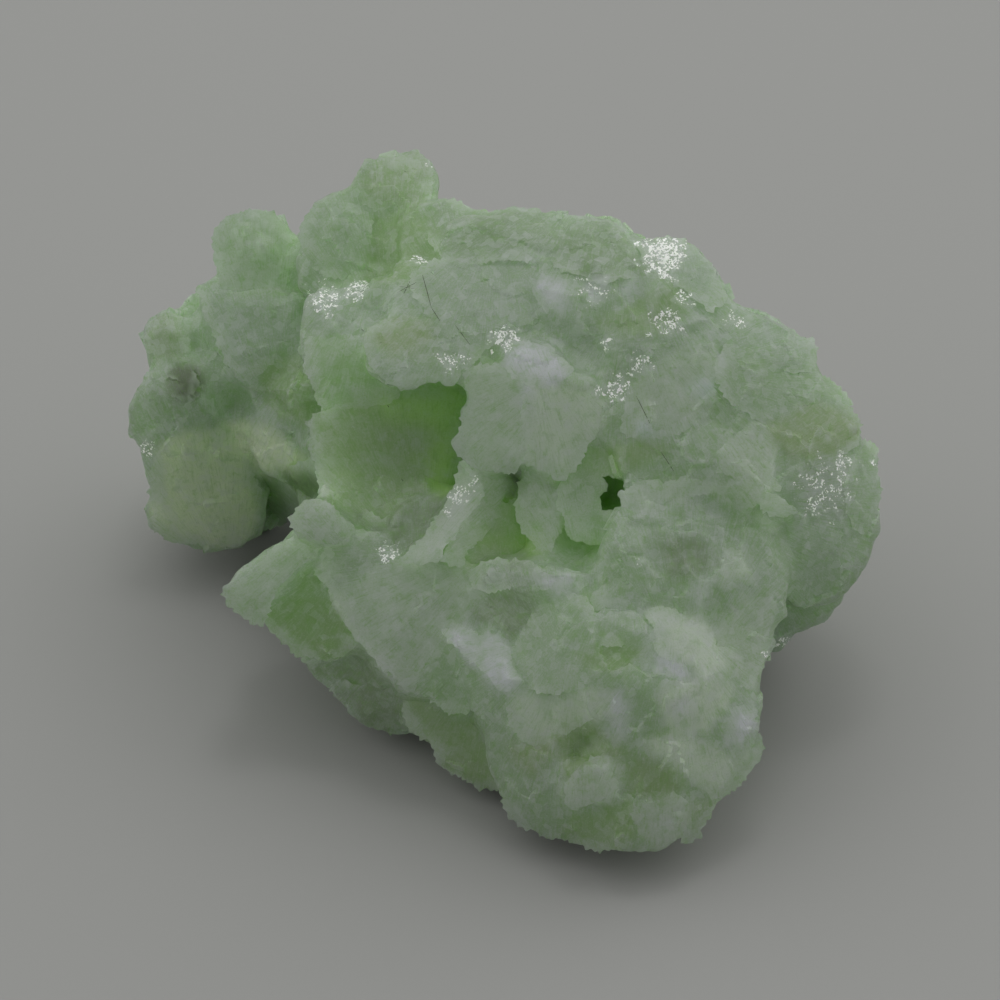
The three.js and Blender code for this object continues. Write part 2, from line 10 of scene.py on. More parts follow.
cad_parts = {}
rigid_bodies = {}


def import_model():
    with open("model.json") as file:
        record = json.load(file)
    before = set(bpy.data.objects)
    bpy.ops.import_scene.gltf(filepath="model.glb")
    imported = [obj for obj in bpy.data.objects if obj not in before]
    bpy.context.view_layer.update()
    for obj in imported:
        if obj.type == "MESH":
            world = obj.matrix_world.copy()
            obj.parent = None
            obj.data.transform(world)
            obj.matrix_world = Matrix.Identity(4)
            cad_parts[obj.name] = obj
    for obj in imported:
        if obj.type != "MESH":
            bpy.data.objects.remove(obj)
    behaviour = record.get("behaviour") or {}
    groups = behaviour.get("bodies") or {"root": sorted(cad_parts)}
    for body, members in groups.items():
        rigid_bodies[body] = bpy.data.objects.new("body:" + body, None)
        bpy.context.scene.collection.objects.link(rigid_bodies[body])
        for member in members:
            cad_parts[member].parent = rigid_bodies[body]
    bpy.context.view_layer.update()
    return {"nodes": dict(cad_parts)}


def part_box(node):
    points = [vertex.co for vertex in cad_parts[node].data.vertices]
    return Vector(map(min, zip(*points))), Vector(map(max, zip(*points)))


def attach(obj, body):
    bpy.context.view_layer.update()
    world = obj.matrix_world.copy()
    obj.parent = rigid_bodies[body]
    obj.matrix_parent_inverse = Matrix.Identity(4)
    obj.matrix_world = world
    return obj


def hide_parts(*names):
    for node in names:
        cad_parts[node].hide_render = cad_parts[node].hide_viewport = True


# A prehnite cluster as a collector's photograph shows it. Every size is in millimetres until a mesh is
# written, then metres. The sketch plane is the one that the solid was drawn on: right, up and the depth
# behind it.
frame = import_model()
solid = frame["nodes"]["prehnite_cluster"]
mm = 0.001

sketch = {
    "height": 16.0,  # of its middle above the table
    "lookDown": math.radians(40),
    "eyeDistance": 330.0,
    "frameWidth": 80.0,  # what the camera takes in at the sketch plane
    "middle": (-0.0446, -0.3932),  # where the solid's middle lies from the sketch's middle
}
towardsEye = np.array((0, -math.cos(sketch["lookDown"]), math.sin(sketch["lookDown"])))


def chance(seed, step):  # a repeatable number from 0 to 1
    wave = np.sin(np.asarray(seed) * 12.9898 + np.asarray(step) * 78.233) * 43758.5453
    return wave - np.floor(wave)


def fromSketch(right, up, depth):  # the same place in the row frame
    spread = 1 + depth / sketch["eyeDistance"]
    down, back = math.sin(sketch["lookDown"]), math.cos(sketch["lookDown"])
    x = right * spread - sketch["middle"][0]
    y = up * spread * down + depth * back - sketch["middle"][1]
    z = sketch["height"] + up * spread * back - depth * down
    return np.stack(np.broadcast_arrays(x, y, z), axis=-1)


def toSketch(points):  # right, up and depth of points in the row frame
    down, back = math.sin(sketch["lookDown"]), math.cos(sketch["lookDown"])
    x = points[:, 0] + sketch["middle"][0]
    y = points[:, 1] + sketch["middle"][1]
    z = points[:, 2] - sketch["height"]
    depth = y * back - z * down
    spread = 1 + depth / sketch["eyeDistance"]
    return x / spread, (y * down + z * back) / spread, depth


def smoothStep(low, high, value):
    t = np.clip((value - low) / (high - low), 0, 1)
    return t * t * (3 - 2 * t)


def wander(value, seed):  # smooth noise along one coordinate, -1 to 1
    cell = np.floor(value)
    t = value - cell
    t = t * t * (3 - 2 * t)
    return 2 * (chance(seed, cell) * (1 - t) + chance(seed, cell + 1) * t) - 1


def blocks(value, seed):  # the same with sudden steps, -1 to 1
    return 2 * chance(seed, np.floor(value)) - 1


def spikes(value, seed):  # a row of small points, each of its own height, -1 to 1
    cell = np.floor(value)
    return (1 - 2 * np.abs(value - cell - 0.5)) * 2 * chance(seed, cell) - 0.5


def rowsOf(at, rows, seed):  # rows of kind, height, length and seed, added up
    return sum(height * kind(at / length, seed + step) for kind, height, length, step in rows)


def waves(points, length, seed):  # slow smooth waves through space, about -1 to 1
    total = np.zeros(len(points))
    for k in range(6):
        way = np.array([float(chance(seed + k, j)) * 2 - 1 for j in (1, 2, 3)])
        way *= 2 * math.pi / (length * (0.7 + 0.6 * float(chance(seed + k, 4))) * np.linalg.norm(way))
        total += np.sin(points @ way + 6.28 * float(chance(seed + k, 5)))
    return total / 3


# Breaks the skin into flat, tilted facets: each point takes the slope of its nearest seed point
def facetHeight(points, spacing, slope, seed, stretch=(1, 1, 1)):
    scaled = points / (spacing * np.array(stretch))
    home = np.floor(scaled)
    best = np.full(len(points), 1e9)
    height = np.zeros(len(points))
    for dx in (-1, 0, 1):
        for dy in (-1, 0, 1):
            for dz in (-1, 0, 1):
                cell = home + (dx, dy, dz)
                key = cell @ np.array((1.0, 57.0, 113.0))
                at = cell + np.stack([chance(seed + k, key) for k in (1, 2, 3)], axis=-1)
                tilt = np.stack([chance(seed + k, key) for k in (4, 5, 6)], axis=-1) * 2 - 1
                offset = scaled - at
                distance = (offset ** 2).sum(axis=1)
                near = distance < best
                best = np.where(near, distance, best)
                height = np.where(near, (offset * tilt).sum(axis=1), height)
    return height * slope * spacing


def meshFrom(name, points, faces):
    mesh = bpy.data.meshes.new(name)
    mesh.from_pydata([tuple(p) for p in points * mm], [], faces)
    mesh.validate()
    mesh.update()
    return bpy.data.objects.new(name, mesh)


def pointsOf(mesh):
    flat = np.zeros(len(mesh.vertices) * 3, np.float32)
    mesh.vertices.foreach_get("co", flat)
    return flat.reshape(-1, 3).astype(float) / mm


def setPoints(mesh, points):
    mesh.vertices.foreach_set("co", (points * mm).astype(np.float32).ravel())
    mesh.update()


def normalsOf(mesh):
    flat = np.zeros(len(mesh.vertices) * 3, np.float32)
    mesh.vertices.foreach_get("normal", flat)
    return flat.reshape(-1, 3).astype(float)


def applied(thing):  # the object's mesh with its modifiers applied
    graph = bpy.context.evaluated_depsgraph_get()
    return bpy.data.meshes.new_from_object(thing.evaluated_get(graph))


leafShape = {
    "longEdge": 3.2,  # outline edges longer than this break in two
    "roughness": 0.16,  # how far they break out of line, as a share of their length
    "sides": (4, 6),  # fewest and most facets around the flat table
    "tableShare": 0.5,  # size of the table against the outline
    "crownShare": 0.9,  # where the facets end and the rim falls off
    "softness": 1.1,  # millimetres over which the facets blend
    "blend": 1.6,
    "crisp": 0.6,  # share of the sharp facets against the blended ones
    "root": 9.0,  # how deep the leaf reaches into the mass
    "grid": 0.28,  # distance between points
    "crowding": 0.85,  # below 1 the rings stand closer near the rim
    "proud": 0.2,  # how far the leaf stands before the solid's own
    "rimDrop": 0.3,
    "rimThick": 0.45,
    "backShare": 0.985,  # size of the rim's rear edge against its front one
    "tooth": 0.3,  # depth of the nicks in its rim
    "teeth": ((blocks, 0.45, 0.42, 11), (wander, 0.45, 1.3, 12), (wander, 0.3, 0.3, 13)),
    "spare": 0.1,  # how far its rim reaches past the outline
    "swell": 0.12,  # height of its slow waves
    "swellLength": 3.8,
    "blades": (1.6, 0.12, 30),  # size, slope and seed of the long flat strips
    "bladeStretch": (2.4, 1, 1),
    "facets": (1.1, 0.06, 50),
    "growth": (3, -9),  # from its middle to where its ridges run out from, if it gives no place
    "growthReach": 9.0,  # the least that this place is away
    "step": 2.6,  # width of its growth steps
    "stepHeight": 0.07,
    "ridge": 0.015,  # height of the fine ridges that run out from its root
    "ridgePitch": 0.55,
}

# Outlines in millimetres right and up of the sketch's middle, the middle's depth, and how the depth leans.
# bulge is how far its facets fall, and growth is where its ridges run out from.
leaves = {
    "lobeNub": {
        "outline": [(-22.4, 16), (-22.9, 19.6), (-22.4, 22.2), (-20.5, 23), (-18.2, 22.9), (-17, 21.9),
                    (-16.5, 20), (-16, 16), (-19.2, 14.4)],
        "depth": 8, "lean": (0, -0.2), "bulge": 1.2, "growth": (-19, 14)},
    "lobeUpper": {
        "outline": [(-24.3, 16.8), (-22.2, 18.2), (-19.2, 17.6), (-16, 16), (-15, 12.8), (-16.8, 10.2),
                    (-20, 8.8), (-22.2, 9.6), (-23.2, 12.4), (-23.7, 14.6)],
        "depth": 6, "lean": (-0.2, 0.3), "bulge": 1},
    "lobeKnob": {
        "outline": [(-28.6, 13.6), (-28, 14.7), (-26.7, 15.2), (-25.6, 14.9), (-25, 13.8), (-24.6, 11.2),
                    (-25.6, 9.6), (-27.6, 10), (-28.3, 12)],
        "depth": 8, "lean": (0, 0.1), "bulge": 1, "growth": (-25.5, 9.6)},
    "lobeCheek": {
        "outline": [(-28.4, 9.8), (-26, 11.6), (-23.6, 10.8), (-22.2, 9.2), (-22.8, 6.8), (-24.8, 6),
                    (-27.2, 6.8), (-28.8, 8.4)],
        "depth": 6.5, "lean": (0, 0.2), "bulge": 1},
    "lobeFoot": {
        "outline": [(-29.8, 6.8), (-29.2, 8.9), (-26.4, 8), (-22.8, 6.8), (-19, 4.8), (-19, -3.2),
                    (-21.2, -4), (-26, -3.6), (-28, -2.6), (-27.8, 0.8), (-28.8, 3.6), (-29.7, 5.2)],
        "depth": 9.5, "lean": (0, -0.5), "bulge": 0.8},
    "lobeShingle": {
        "outline": [(-20, 9.2), (-16, 12), (-14.6, 8), (-14, 4.8), (-15.2, 2), (-17.2, 1), (-19, 2.4),
                    (-20.4, 5.6)],
        "depth": 5.5, "lean": (-0.2, 0.2), "bulge": 0.8, "growth": (-15, 12)},
    "spire": {
        "outline": [(-11.8, 25), (-10.8, 27.4), (-9.2, 27.6), (-6.8, 28), (-5.4, 27), (-5, 25.2),
                    (-5.4, 22.8), (-5.6, 20.8), (-8.8, 19.2), (-11.6, 20.8), (-12, 23.6)],
        "depth": 3.5, "lean": (0, 0.1), "bulge": 0.8, "growth": (-8.8, 17)},
    "leftShoulder": {
        "outline": [(-16.2, 19), (-15.8, 21.6), (-15, 23.7), (-13.2, 24.6), (-11.8, 24.8), (-9.6, 24),
                    (-8.8, 19.2), (-10.4, 16), (-14.4, 16), (-16, 16.8)],
        "depth": 2.5, "lean": (-0.1, 0.3), "bulge": 1, "growth": (-10, 15)},
    "rightShoulder": {
        "outline": [(-6, 23.6), (-4.4, 24), (-2.4, 23.2), (0, 22), (-1.6, 19), (-5.6, 18.4), (-8, 20),
                    (-7.6, 22.8)],
        "depth": 0, "lean": (0, 0.5), "bulge": 0.5},
    "ridgeLeaf": {
        "outline": [(-2.4, 22.8), (0.8, 23.4), (3.6, 23), (8, 22.6), (11.2, 20.8), (12.4, 20), (11.2, 16.8),
                    (8, 14.4), (4, 14), (0, 16.8), (-2.8, 19), (-4.8, 20), (-4, 22)],
        "depth": -4.5, "lean": (0, 0.7), "bulge": 0.6, "growth": (8, 26)},
    "overhangLeft": {
        "outline": [(-15.4, 16.3), (-12.4, 17.2), (-8.4, 16), (-8, 12.8), (-9.2, 9.2), (-10.8, 7.8),
                    (-13.2, 7.6), (-14.6, 8.3), (-15.4, 10.4), (-15.8, 13.6)],
        "depth": -4.5, "lean": (-0.15, 0.45), "bulge": 0.8, "growth": (-10, 19)},
    "overhangRight": {
        "outline": [(-10.7, 10.2), (-8.4, 9.1), (-7.2, 9), (-5.8, 9.6), (-4.3, 9.8), (-3.8, 9.4),
                    (-2.7, 10.6), (-1.3, 12.4), (0.8, 13.6), (3.8, 15), (3.6, 17.2), (0, 19), (-4.8, 19),
                    (-8.4, 16.8), (-10.6, 12.4)],
        "depth": -7, "lean": (-0.05, 0.5), "bulge": 0.4, "growth": (0, 22)},
    "recessWall": {
        "outline": [(-15, 5.2), (-13.6, 7.2), (-8, 8.4), (-2.8, 9.2), (-2, 8), (-2.8, 5.6), (-3.4, 4),
                    (-2.4, 2), (-4.2, 0), (-5.6, -3.2), (-8, -4.8), (-12, -2.8), (-13.6, -1), (-14.4, 2)],
        "depth": -4, "lean": (0.3, 0.2), "bulge": 0.3, "growth": (-6, -6)},
    "recessStep": {
        "outline": [(-9, -2), (-8.2, -0.6), (-6.8, 0.2), (-4.8, 0.6), (-3.8, 0), (-4.8, -2.4), (-6, -4.5),
                    (-8, -5), (-8.8, -3.8)],
        "depth": -6.2, "lean": (0.1, 0.1), "bulge": 0.2, "growth": (-6.5, -6)},
    "middleLeft": {
        "outline": [(-2.6, 10.5), (0, 11), (2.4, 10.8), (3.2, 8), (2.8, 4.8), (1.6, 3), (0, 2),
                    (-2.4, 2.6), (-3.2, 3.6), (-3.6, 4.7), (-2.8, 6.4), (-3.1, 7), (-2.2, 8.4)],
        "depth": -9, "lean": (0, 0.1), "bulge": 0.2, "growth": (3, 9)},
    "middleRight": {
        "outline": [(2.4, 10.8), (4.8, 9.8), (7.2, 9.1), (8.2, 7.6), (8, 5.4), (6.4, 3.6), (5.9, 2.2),
                    (4.4, 1.6), (3, 1.9), (2.4, 3.4), (2.6, 5.6), (2.2, 8)],
        "depth": -9.6, "lean": (0.1, 0.1), "bulge": 0.3, "growth": (3, 11)},
    "middleTop": {
        "outline": [(0.4, 12), (1.6, 12.6), (5, 12.2), (5.2, 10.6), (8, 9.8), (7.2, 8.6), (4.8, 8.8),
                    (2.8, 9.2), (0.4, 10)],
        "depth": -9.4, "lean": (0, 0.5), "bulge": 0.3},
    "rod": {
        "outline": [(-2.6, 1.8), (0.4, 2), (0.9, 1), (0.6, -0.4), (-0.3, -1.6), (-1, -3.9), (-1.8, -4.8),
                    (-2.8, -4.5), (-4.8, -5.3), (-6.4, -5.2), (-7.5, -4.8), (-6.8, -3.8), (-5.1, -2),
                    (-4, 0.2)],
        "depth": -8.2, "lean": (0.2, 0.1), "bulge": 0.6, "growth": (-9, -8)},
    "underMiddle": {
        "outline": [(1.6, 1.2), (4.8, 1.8), (6, 2.4), (7.2, 1.6), (8, -0.8), (6, -3.2), (3.2, -4.8),
                    (2, -2.4), (2.2, -0.4)],
        "depth": -8.4, "lean": (0.1, 0.2), "bulge": 0.4},
    "domeTop": {
        "outline": [(8.8, 22.7), (12, 20), (15.2, 20.6), (16.4, 19.4), (18.1, 17.4), (18.6, 15.8),
                    (21, 14.7), (23.2, 13.6), (24, 11.2), (20.8, 8), (16, 7.2), (11.2, 9.6), (8, 13.6),
                    (7.6, 18.4)],
        "depth": -7.2, "lean": (0.15, 0.5), "bulge": 1, "growth": (10, 22)},
    "domeCrest": {
        "outline": [(11.2, 20.6), (13.2, 20.8), (15.4, 20.6), (16.5, 19.4), (17.4, 18), (16, 16.8),
                    (13.2, 18), (11.6, 19)],
        "depth": -5, "lean": (0.1, 0.7), "bulge": 0.3},
    "domeShoulder": {
        "outline": [(18.6, 15.8), (21.2, 14.6), (23.4, 13.5), (25, 12.6), (25.6, 10.2), (26.8, 8.5),
                    (28.4, 6.9), (29, 5.4), (27.2, 4), (23.2, 3.2), (20, 5.6), (18.8, 8.8), (18, 12.8)],
        "depth": -6.2, "lean": (0.35, 0.5), "bulge": 1, "growth": (17, 10)},
    "domeCheek": {
        "outline": [(23.2, 7.6), (26.8, 8), (29, 6), (29.3, 4.4), (30.1, 3.2), (30.6, 0.6), (30.5, -2.4),
                    (29.8, -4.8), (28.4, -7), (27, -8.3), (24, -9), (21.6, -6.4), (21.2, -1.6), (22, 4)],
        "depth": -7, "lean": (0.45, 0.05), "bulge": 1.2, "growth": (20, 0)},
    "domeFlange": {
        "outline": [(28, -7), (27.4, -8.5), (25.8, -10), (23.6, -10.6), (22.6, -12.4), (21.2, -12.2),
                    (20.4, -9.4), (24, -6)],
        "depth": -0.5, "lean": (0.2, -0.4), "bulge": 0.4, "growth": (20, -4)},
    "domeLeaf": {
        "outline": [(8, 13.6), (12.8, 12.4), (17.6, 10.4), (20.8, 8), (22, 4), (21.6, 0), (19.6, -1),
                    (15.2, 1.2), (12, 1.8), (9.6, 2.4), (8, 4.8), (8.2, 7.6), (7.2, 9.6), (5.2, 12)],
        "depth": -9.5, "lean": (0.08, 0.35), "bulge": 0.9, "growth": (10, 16)},
    "domeApron": {
        "outline": [(8.8, -2), (10, 0.4), (12, 1.7), (15.2, 1.1), (17.8, 0.9), (19.7, -1), (22, -2.4),
                    (23.2, -5.6), (23.2, -9.6), (20.8, -11.2), (16, -11.2), (11.2, -9.6), (8, -8),
                    (7.8, -4.8)],
        "depth": -12.2, "lean": (0.25, 0.25), "bulge": 0.8, "growth": (15, -12)},
    "frontLeaf": {
        "outline": [(-13.6, -3.2), (-12, -2.6), (-9.4, -2.9), (-8.2, -5.2), (-4.8, -5.3), (-0.8, -4.8),
                    (0, -8), (0.4, -11.2), (-0.8, -14.4), (-2.4, -16), (-4.8, -16.4), (-8, -15.6),
                    (-9.8, -13.4), (-12, -10.4), (-13.6, -8), (-14.9, -5)],
        "depth": -8.8, "lean": (-0.2, 0.1), "bulge": 0.7, "growth": (-3, -6)},
    "fan": {
        "outline": [(-16.6, -2.6), (-19, -4.8), (-20.8, -5.9), (-21.9, -7.4), (-21.7, -8.4), (-20, -9.1),
                    (-19, -9), (-18, -10.4), (-16, -12.4), (-13.6, -13.2), (-11.6, -12.4), (-10.8, -11.2),
                    (-12.4, -8), (-13.6, -5.6), (-14.6, -3.6)],
        "depth": -5.6, "lean": (-0.1, 0.1), "bulge": 0.4, "growth": (-11, -4)},
    "fanBand": {
        "outline": [(-21.9, -7.4), (-20.8, -5.9), (-19, -4.6), (-16.3, -3), (-14.4, -4.4), (-16, -6),
                    (-18, -7.4), (-19.4, -9), (-21.2, -8.5)],
        "depth": -7, "lean": (-0.1, 0.2), "bulge": 0.4, "growth": (-11, 0)},
    "ruffledNub": {
        "outline": [(-16.6, -1.6), (-16.2, -0.6), (-15.4, -0.2), (-14.2, -0.2), (-13.4, -1), (-12.4, -2.2),
                    (-11.8, -3.2), (-13.6, -3.8), (-15.6, -3.2), (-16.5, -2.6)],
        "depth": -9, "lean": (0, 0.2), "bulge": 0.4, "growth": (-12.5, -4)},
    "ledgeLeft": {
        "outline": [(-16, -12), (-13.6, -11.6), (-10.4, -12.4), (-8, -14), (-7, -17.8), (-8.4, -18.8),
                    (-9.8, -18.6), (-11.4, -18.2), (-12.8, -16.2), (-14.8, -14.4)],
        "depth": -2.6, "lean": (-0.1, -0.2), "bulge": 0.6, "growth": (-8, -11)},
    "ledgeRight": {
        "outline": [(-8, -14), (-4.8, -14), (-1.6, -15), (0, -19.6), (0.4, -23.2), (-1.2, -23.8),
                    (-2.2, -23), (-3.2, -22), (-4.4, -21.6), (-4.8, -20.4), (-6, -19.6), (-7.2, -18.4)],
        "depth": -5.8, "lean": (-0.2, -0.1), "bulge": 0.5, "growth": (-1, -13)},
    "noseBridge": {
        "outline": [(-0.8, -4.8), (3.6, -4.5), (8, -4.8), (11.2, -8), (12, -12), (8, -14.4), (3.2, -12.8),
                    (0, -11.2), (-1.8, -8)],
        "depth": -12, "lean": (-0.1, 0.4), "bulge": 0.8},
    "noseLip": {
        "outline": [(-1, -5.4), (1.6, -4.8), (4.8, -5.3), (6.6, -6), (6, -7.2), (3.6, -8), (0.8, -7.4),
                    (-1.4, -6.8)],
        "depth": -12.4, "lean": (-0.2, 0.3), "bulge": 0.4},
    "noseTop": {
        "outline": [(4.8, -8), (11.2, -8), (16, -11.2), (16.8, -15.2), (12.8, -18.4), (8, -17.6),
                    (4.8, -14.4)],
        "depth": -15.6, "lean": (0, 0.3), "bulge": 0.8, "growth": (10, -7)},
    "noseLeft": {
        "outline": [(-4.2, -10.6), (0, -11.2), (4.8, -12), (8, -15.2), (8.8, -19.2), (8, -24), (7.2, -27.6),
                    (3.6, -27.3), (1.6, -25.6), (0, -23.6), (-1, -20.8), (-2, -17.6), (-2.4, -15.2)],
        "depth": -13.2, "lean": (-0.3, -0.1), "bulge": 1.1, "growth": (6, -10)},
    "noseRight": {
        "outline": [(8, -11.2), (14.4, -10.4), (22.2, -11.2), (21.4, -13.2), (21, -16), (20.6, -19.4),
                    (19.6, -21.6), (17.6, -24), (15.2, -27.2), (12.4, -28.6), (8.8, -28), (8, -24),
                    (7.2, -17.6)],
        "depth": -15, "lean": (0.25, -0.05), "bulge": 1.9, "growth": (14, -9)},
}


def brokenRim(outline, seed):  # the outline with its long edges broken in two
    rim = []
    for i, (right, up) in enumerate(outline):
        nextRight, nextUp = outline[(i + 1) % len(outline)]
        rim.append((right, up))
        if math.hypot(nextRight - right, nextUp - up) >= leafShape["longEdge"]:
            stray = (float(chance(seed, i)) - 0.5) * 2 * leafShape["roughness"]
            rim.append(((right + nextRight) / 2 + (nextUp - up) * stray,
                        (up + nextUp) / 2 - (nextRight - right) * stray))
    return np.array(rim)


def inside(outline, right, up):  # true for the points that an outline holds
    hit = np.zeros(len(right), bool)
    for (x, y), (nextX, nextY) in zip(outline, outline[1:] + outline[:1]):
        cross = (y > up) != (nextY > up)
        with np.errstate(divide="ignore", invalid="ignore"):
            hit ^= cross & (right < (nextX - x) * (up - y) / (nextY - y) + x)
    return hit


def outlineMiddle(outline):  # the middle of its rim
    here, there = np.array(outline, float), np.roll(np.array(outline, float), -1, axis=0)
    length = np.linalg.norm(there - here, axis=1)[:, None]
    return ((here + there) / 2 * length).sum(axis=0) / length.sum()


# How far a leaf's facets fall behind its table: a plane for each side of the table
def fallFrom(rim, middle, bulge, seed):
    count = len(rim)
    fewest, most = leafShape["sides"]
    facets = max(fewest, min(most, count // 2))
    firsts = [facet * count // facets for facet in range(facets + 1)]
    share = [leafShape["tableShare"] * (0.8 + 0.4 * float(chance(seed + 3, k))) for k in range(facets)]
    table = [middle + (rim[firsts[k]] - middle) * share[k] for k in range(facets)]
    planes = []
    for k in range(facets):
        side = table[(k + 1) % facets] - table[k]
        outward = np.array((side[1], -side[0])) / np.linalg.norm(side)
        if (table[k] - middle) @ outward < 0:
            outward = -outward
        crown = middle + (rim[firsts[k]:firsts[k + 1]] - middle) * leafShape["crownShare"]
        reach = np.abs((crown - table[k]) @ outward).mean()
        planes.append((table[k], outward, bulge * (0.5 + float(chance(seed + 5, k))) / reach))

    def fall(points):
        soft, blend, crisp = (leafShape[key] for key in ("softness", "blend", "crisp"))
        total = np.ones(points.shape[:-1])
        for at, outward, slope in planes:
            total += np.exp(slope * ((points - at) @ outward) / (soft * slope + 1e-6) * blend)
        steepest = np.zeros(points.shape[:-1])
        for at, outward, slope in planes:
            steepest = np.maximum(steepest, slope * ((points - at) @ outward))
        meanSlope = np.mean([slope for _, _, slope in planes])
        return crisp * steepest + (1 - crisp) * np.log(total) * soft * meanSlope / blend
    return fall


def alongRim(rim, spacing, fewest=24):  # points evenly along a closed outline
    ends = np.vstack([rim, rim[:1]])
    length = np.concatenate([[0], np.cumsum(np.linalg.norm(np.diff(ends, axis=0), axis=1))])
    count = max(fewest, int(length[-1] / spacing))
    at = np.linspace(0, length[-1], count, endpoint=False)
    return np.stack([np.interp(at, length, ends[:, k]) for k in (0, 1)], axis=-1), at


def growthOf(leaf, middle):  # where the ridges of a leaf run out from
    away = middle - np.array(leaf.get("growth", middle + leafShape["growth"]), float)
    return middle - away * max(1.0, leafShape["growthReach"] / np.linalg.norm(away))


# A leaf on a grid of rings around its middle, with a toothed rim, growth steps and fine ridges
def makeLeaf(name, leaf, seed):
    shape = leafShape
    rim = brokenRim(leaf["outline"], seed)
    middle = outlineMiddle(leaf["outline"])
    fall = fallFrom(rim, middle, leaf["bulge"], seed)
    edge, at = alongRim(rim, shape["grid"])
    spoke = edge - middle
    radius = np.linalg.norm(spoke, axis=1)
    teeth = rowsOf(at, shape["teeth"], seed)
    edge = middle + spoke * (1 + (shape["spare"] + shape["tooth"] * teeth) / radius)[:, None]
    rings = max(6, int(radius.mean() / shape["grid"]))
    shares = np.linspace(0, 1, rings + 1)[1:] ** shape["crowding"]
    ringed = middle + (edge - middle)[None] * shares[:, None, None]
    flat = np.vstack([middle[None], ringed.reshape(-1, 2)])
    ringShare = np.concatenate([[0], np.repeat(shares, len(edge))])

    growth = growthOf(leaf, middle)
    out = flat - growth
    reach = np.linalg.norm(out, axis=1)
    around = np.arctan2(out[:, 1], out[:, 0]) * np.linalg.norm(middle - growth)
    lines = (around + 0.25 * wander(reach / 2.2, seed + 14)) / shape["ridgePitch"]
    step = (reach / shape["step"] + 0.35 * wander(around / 1.7, seed + 15)
            + 0.12 * blocks(around / 0.6, seed + 16))
    saw = step - np.floor(step)
    fading = 0.4 + 0.6 * smoothStep(-0.2, 0.6, wander(reach / 3, seed + 19))
    ridges = np.abs(wander(lines, seed + 17)) * fading
    depth = (leaf["depth"] + (flat - middle) @ np.array(leaf["lean"], float) + fall(flat) - shape["proud"]
             - shape["stepHeight"] * (saw - 0.5) - shape["ridge"] * ridges
             + shape["rimDrop"] * smoothStep(shape["crownShare"], 1.0, ringShare))
    points = fromSketch(flat[:, 0], flat[:, 1], depth)
    bladed = np.column_stack([reach, around, np.zeros(len(reach))])
    bladeSize, bladeSlope, bladeSeed = shape["blades"]
    facetSize, facetSlope, facetSeed = shape["facets"]
    relief = (shape["swell"] * waves(points, shape["swellLength"], seed + 20)
              + facetHeight(bladed, bladeSize, bladeSlope, seed + bladeSeed, shape["bladeStretch"])
              + facetHeight(points, facetSize, facetSlope, seed + facetSeed))
    points += np.outer(relief, towardsEye)
    back = edge * shape["backShare"] + middle * (1 - shape["backShare"])
    backDepth = depth[-len(edge):] + shape["rimThick"]
    rootDepth = leaf["depth"] + shape["root"]
    points = np.vstack([points, fromSketch(back[:, 0], back[:, 1], backDepth),
                        fromSketch(middle[0], middle[1], rootDepth)[None]])
    count = len(edge)
    faces = [(0, 1 + i, 1 + (i + 1) % count) for i in range(count)]
    for ring in range(rings):
        low = 1 + ring * count
        faces += [(low + i, low + count + i, low + count + (i + 1) % count, low + (i + 1) % count)
                  for i in range(count)]
    last = len(points) - 1
    faces += [(last, last - count + (i + 1) % count, last - count + i) for i in range(count)]
    if facesIn(points, faces):
        faces = [tuple(reversed(f)) for f in faces]
    return meshFrom(name, points, faces)


def facesIn(points, faces):  # true where a closed mesh has its faces turned in
    fans = np.array([(f[0], f[k], f[k + 1]) for f in faces for k in range(1, len(f) - 1)])
    one, two, three = (points[fans[:, k]] for k in range(3))
    return (np.cross(one, two) * three).sum() < 0


clusterLook = {
    "mesh": 0.34,  # distance between the points of the mass
    "groove": 1.0,  # half the width of the grooves that fill up
    "pressShares": (1, 1.04, 1.12, 1.25, 1.5),  # the mass may show this close to the leaves' outlines
    "sunk": 0.1,  # how far the mass lies inside the solid
    "massFacets": ((4.2, 0.13, 201), (1.5, 0.09, 231)),  # size, slope and seed
    "massSwell": (0.12, 3, 251),  # height, length and seed
    "fineMesh": 0.28,  # distance between points once the leaves are joined to it
    "seam": 0.8,  # gaps between leaves fill up to twice this
    "facets": ((3.4, 0.08, 401), (1.7, 0.08, 431)),
    "triangles": 190000,
    "sharp": math.radians(32),  # edges with a sharper bend stay sharp
}

print("leaves")
grown = bpy.data.collections.new("grown")
bpy.context.scene.collection.children.link(grown)
for number, (name, leaf) in enumerate(leaves.items()):
    grown.objects.link(makeLeaf(name, leaf, number + 1))


def evenMesh(mesh, size):  # the same shape in even faces
    thing = bpy.data.objects.new("even", mesh)
    bpy.context.scene.collection.objects.link(thing)
    remesh = thing.modifiers.new("even", "REMESH")
    remesh.mode = "VOXEL"
    remesh.voxel_size = size * mm
    even = applied(thing)
    bpy.data.objects.remove(thing)
    return even


def pushed(mesh, distance):  # the mesh swollen by a distance
    setPoints(mesh, pointsOf(mesh) + normalsOf(mesh) * distance)
    return mesh


# The narrow grooves between crystals fill up when the skin swells, is meshed anew and shrinks back
print("mass")
massMesh = evenMesh(solid.data.copy(), clusterLook["mesh"])
swollen = evenMesh(pushed(massMesh, clusterLook["groove"]), clusterLook["mesh"])
massMesh = evenMesh(pushed(swollen, -clusterLook["groove"]), clusterLook["mesh"])


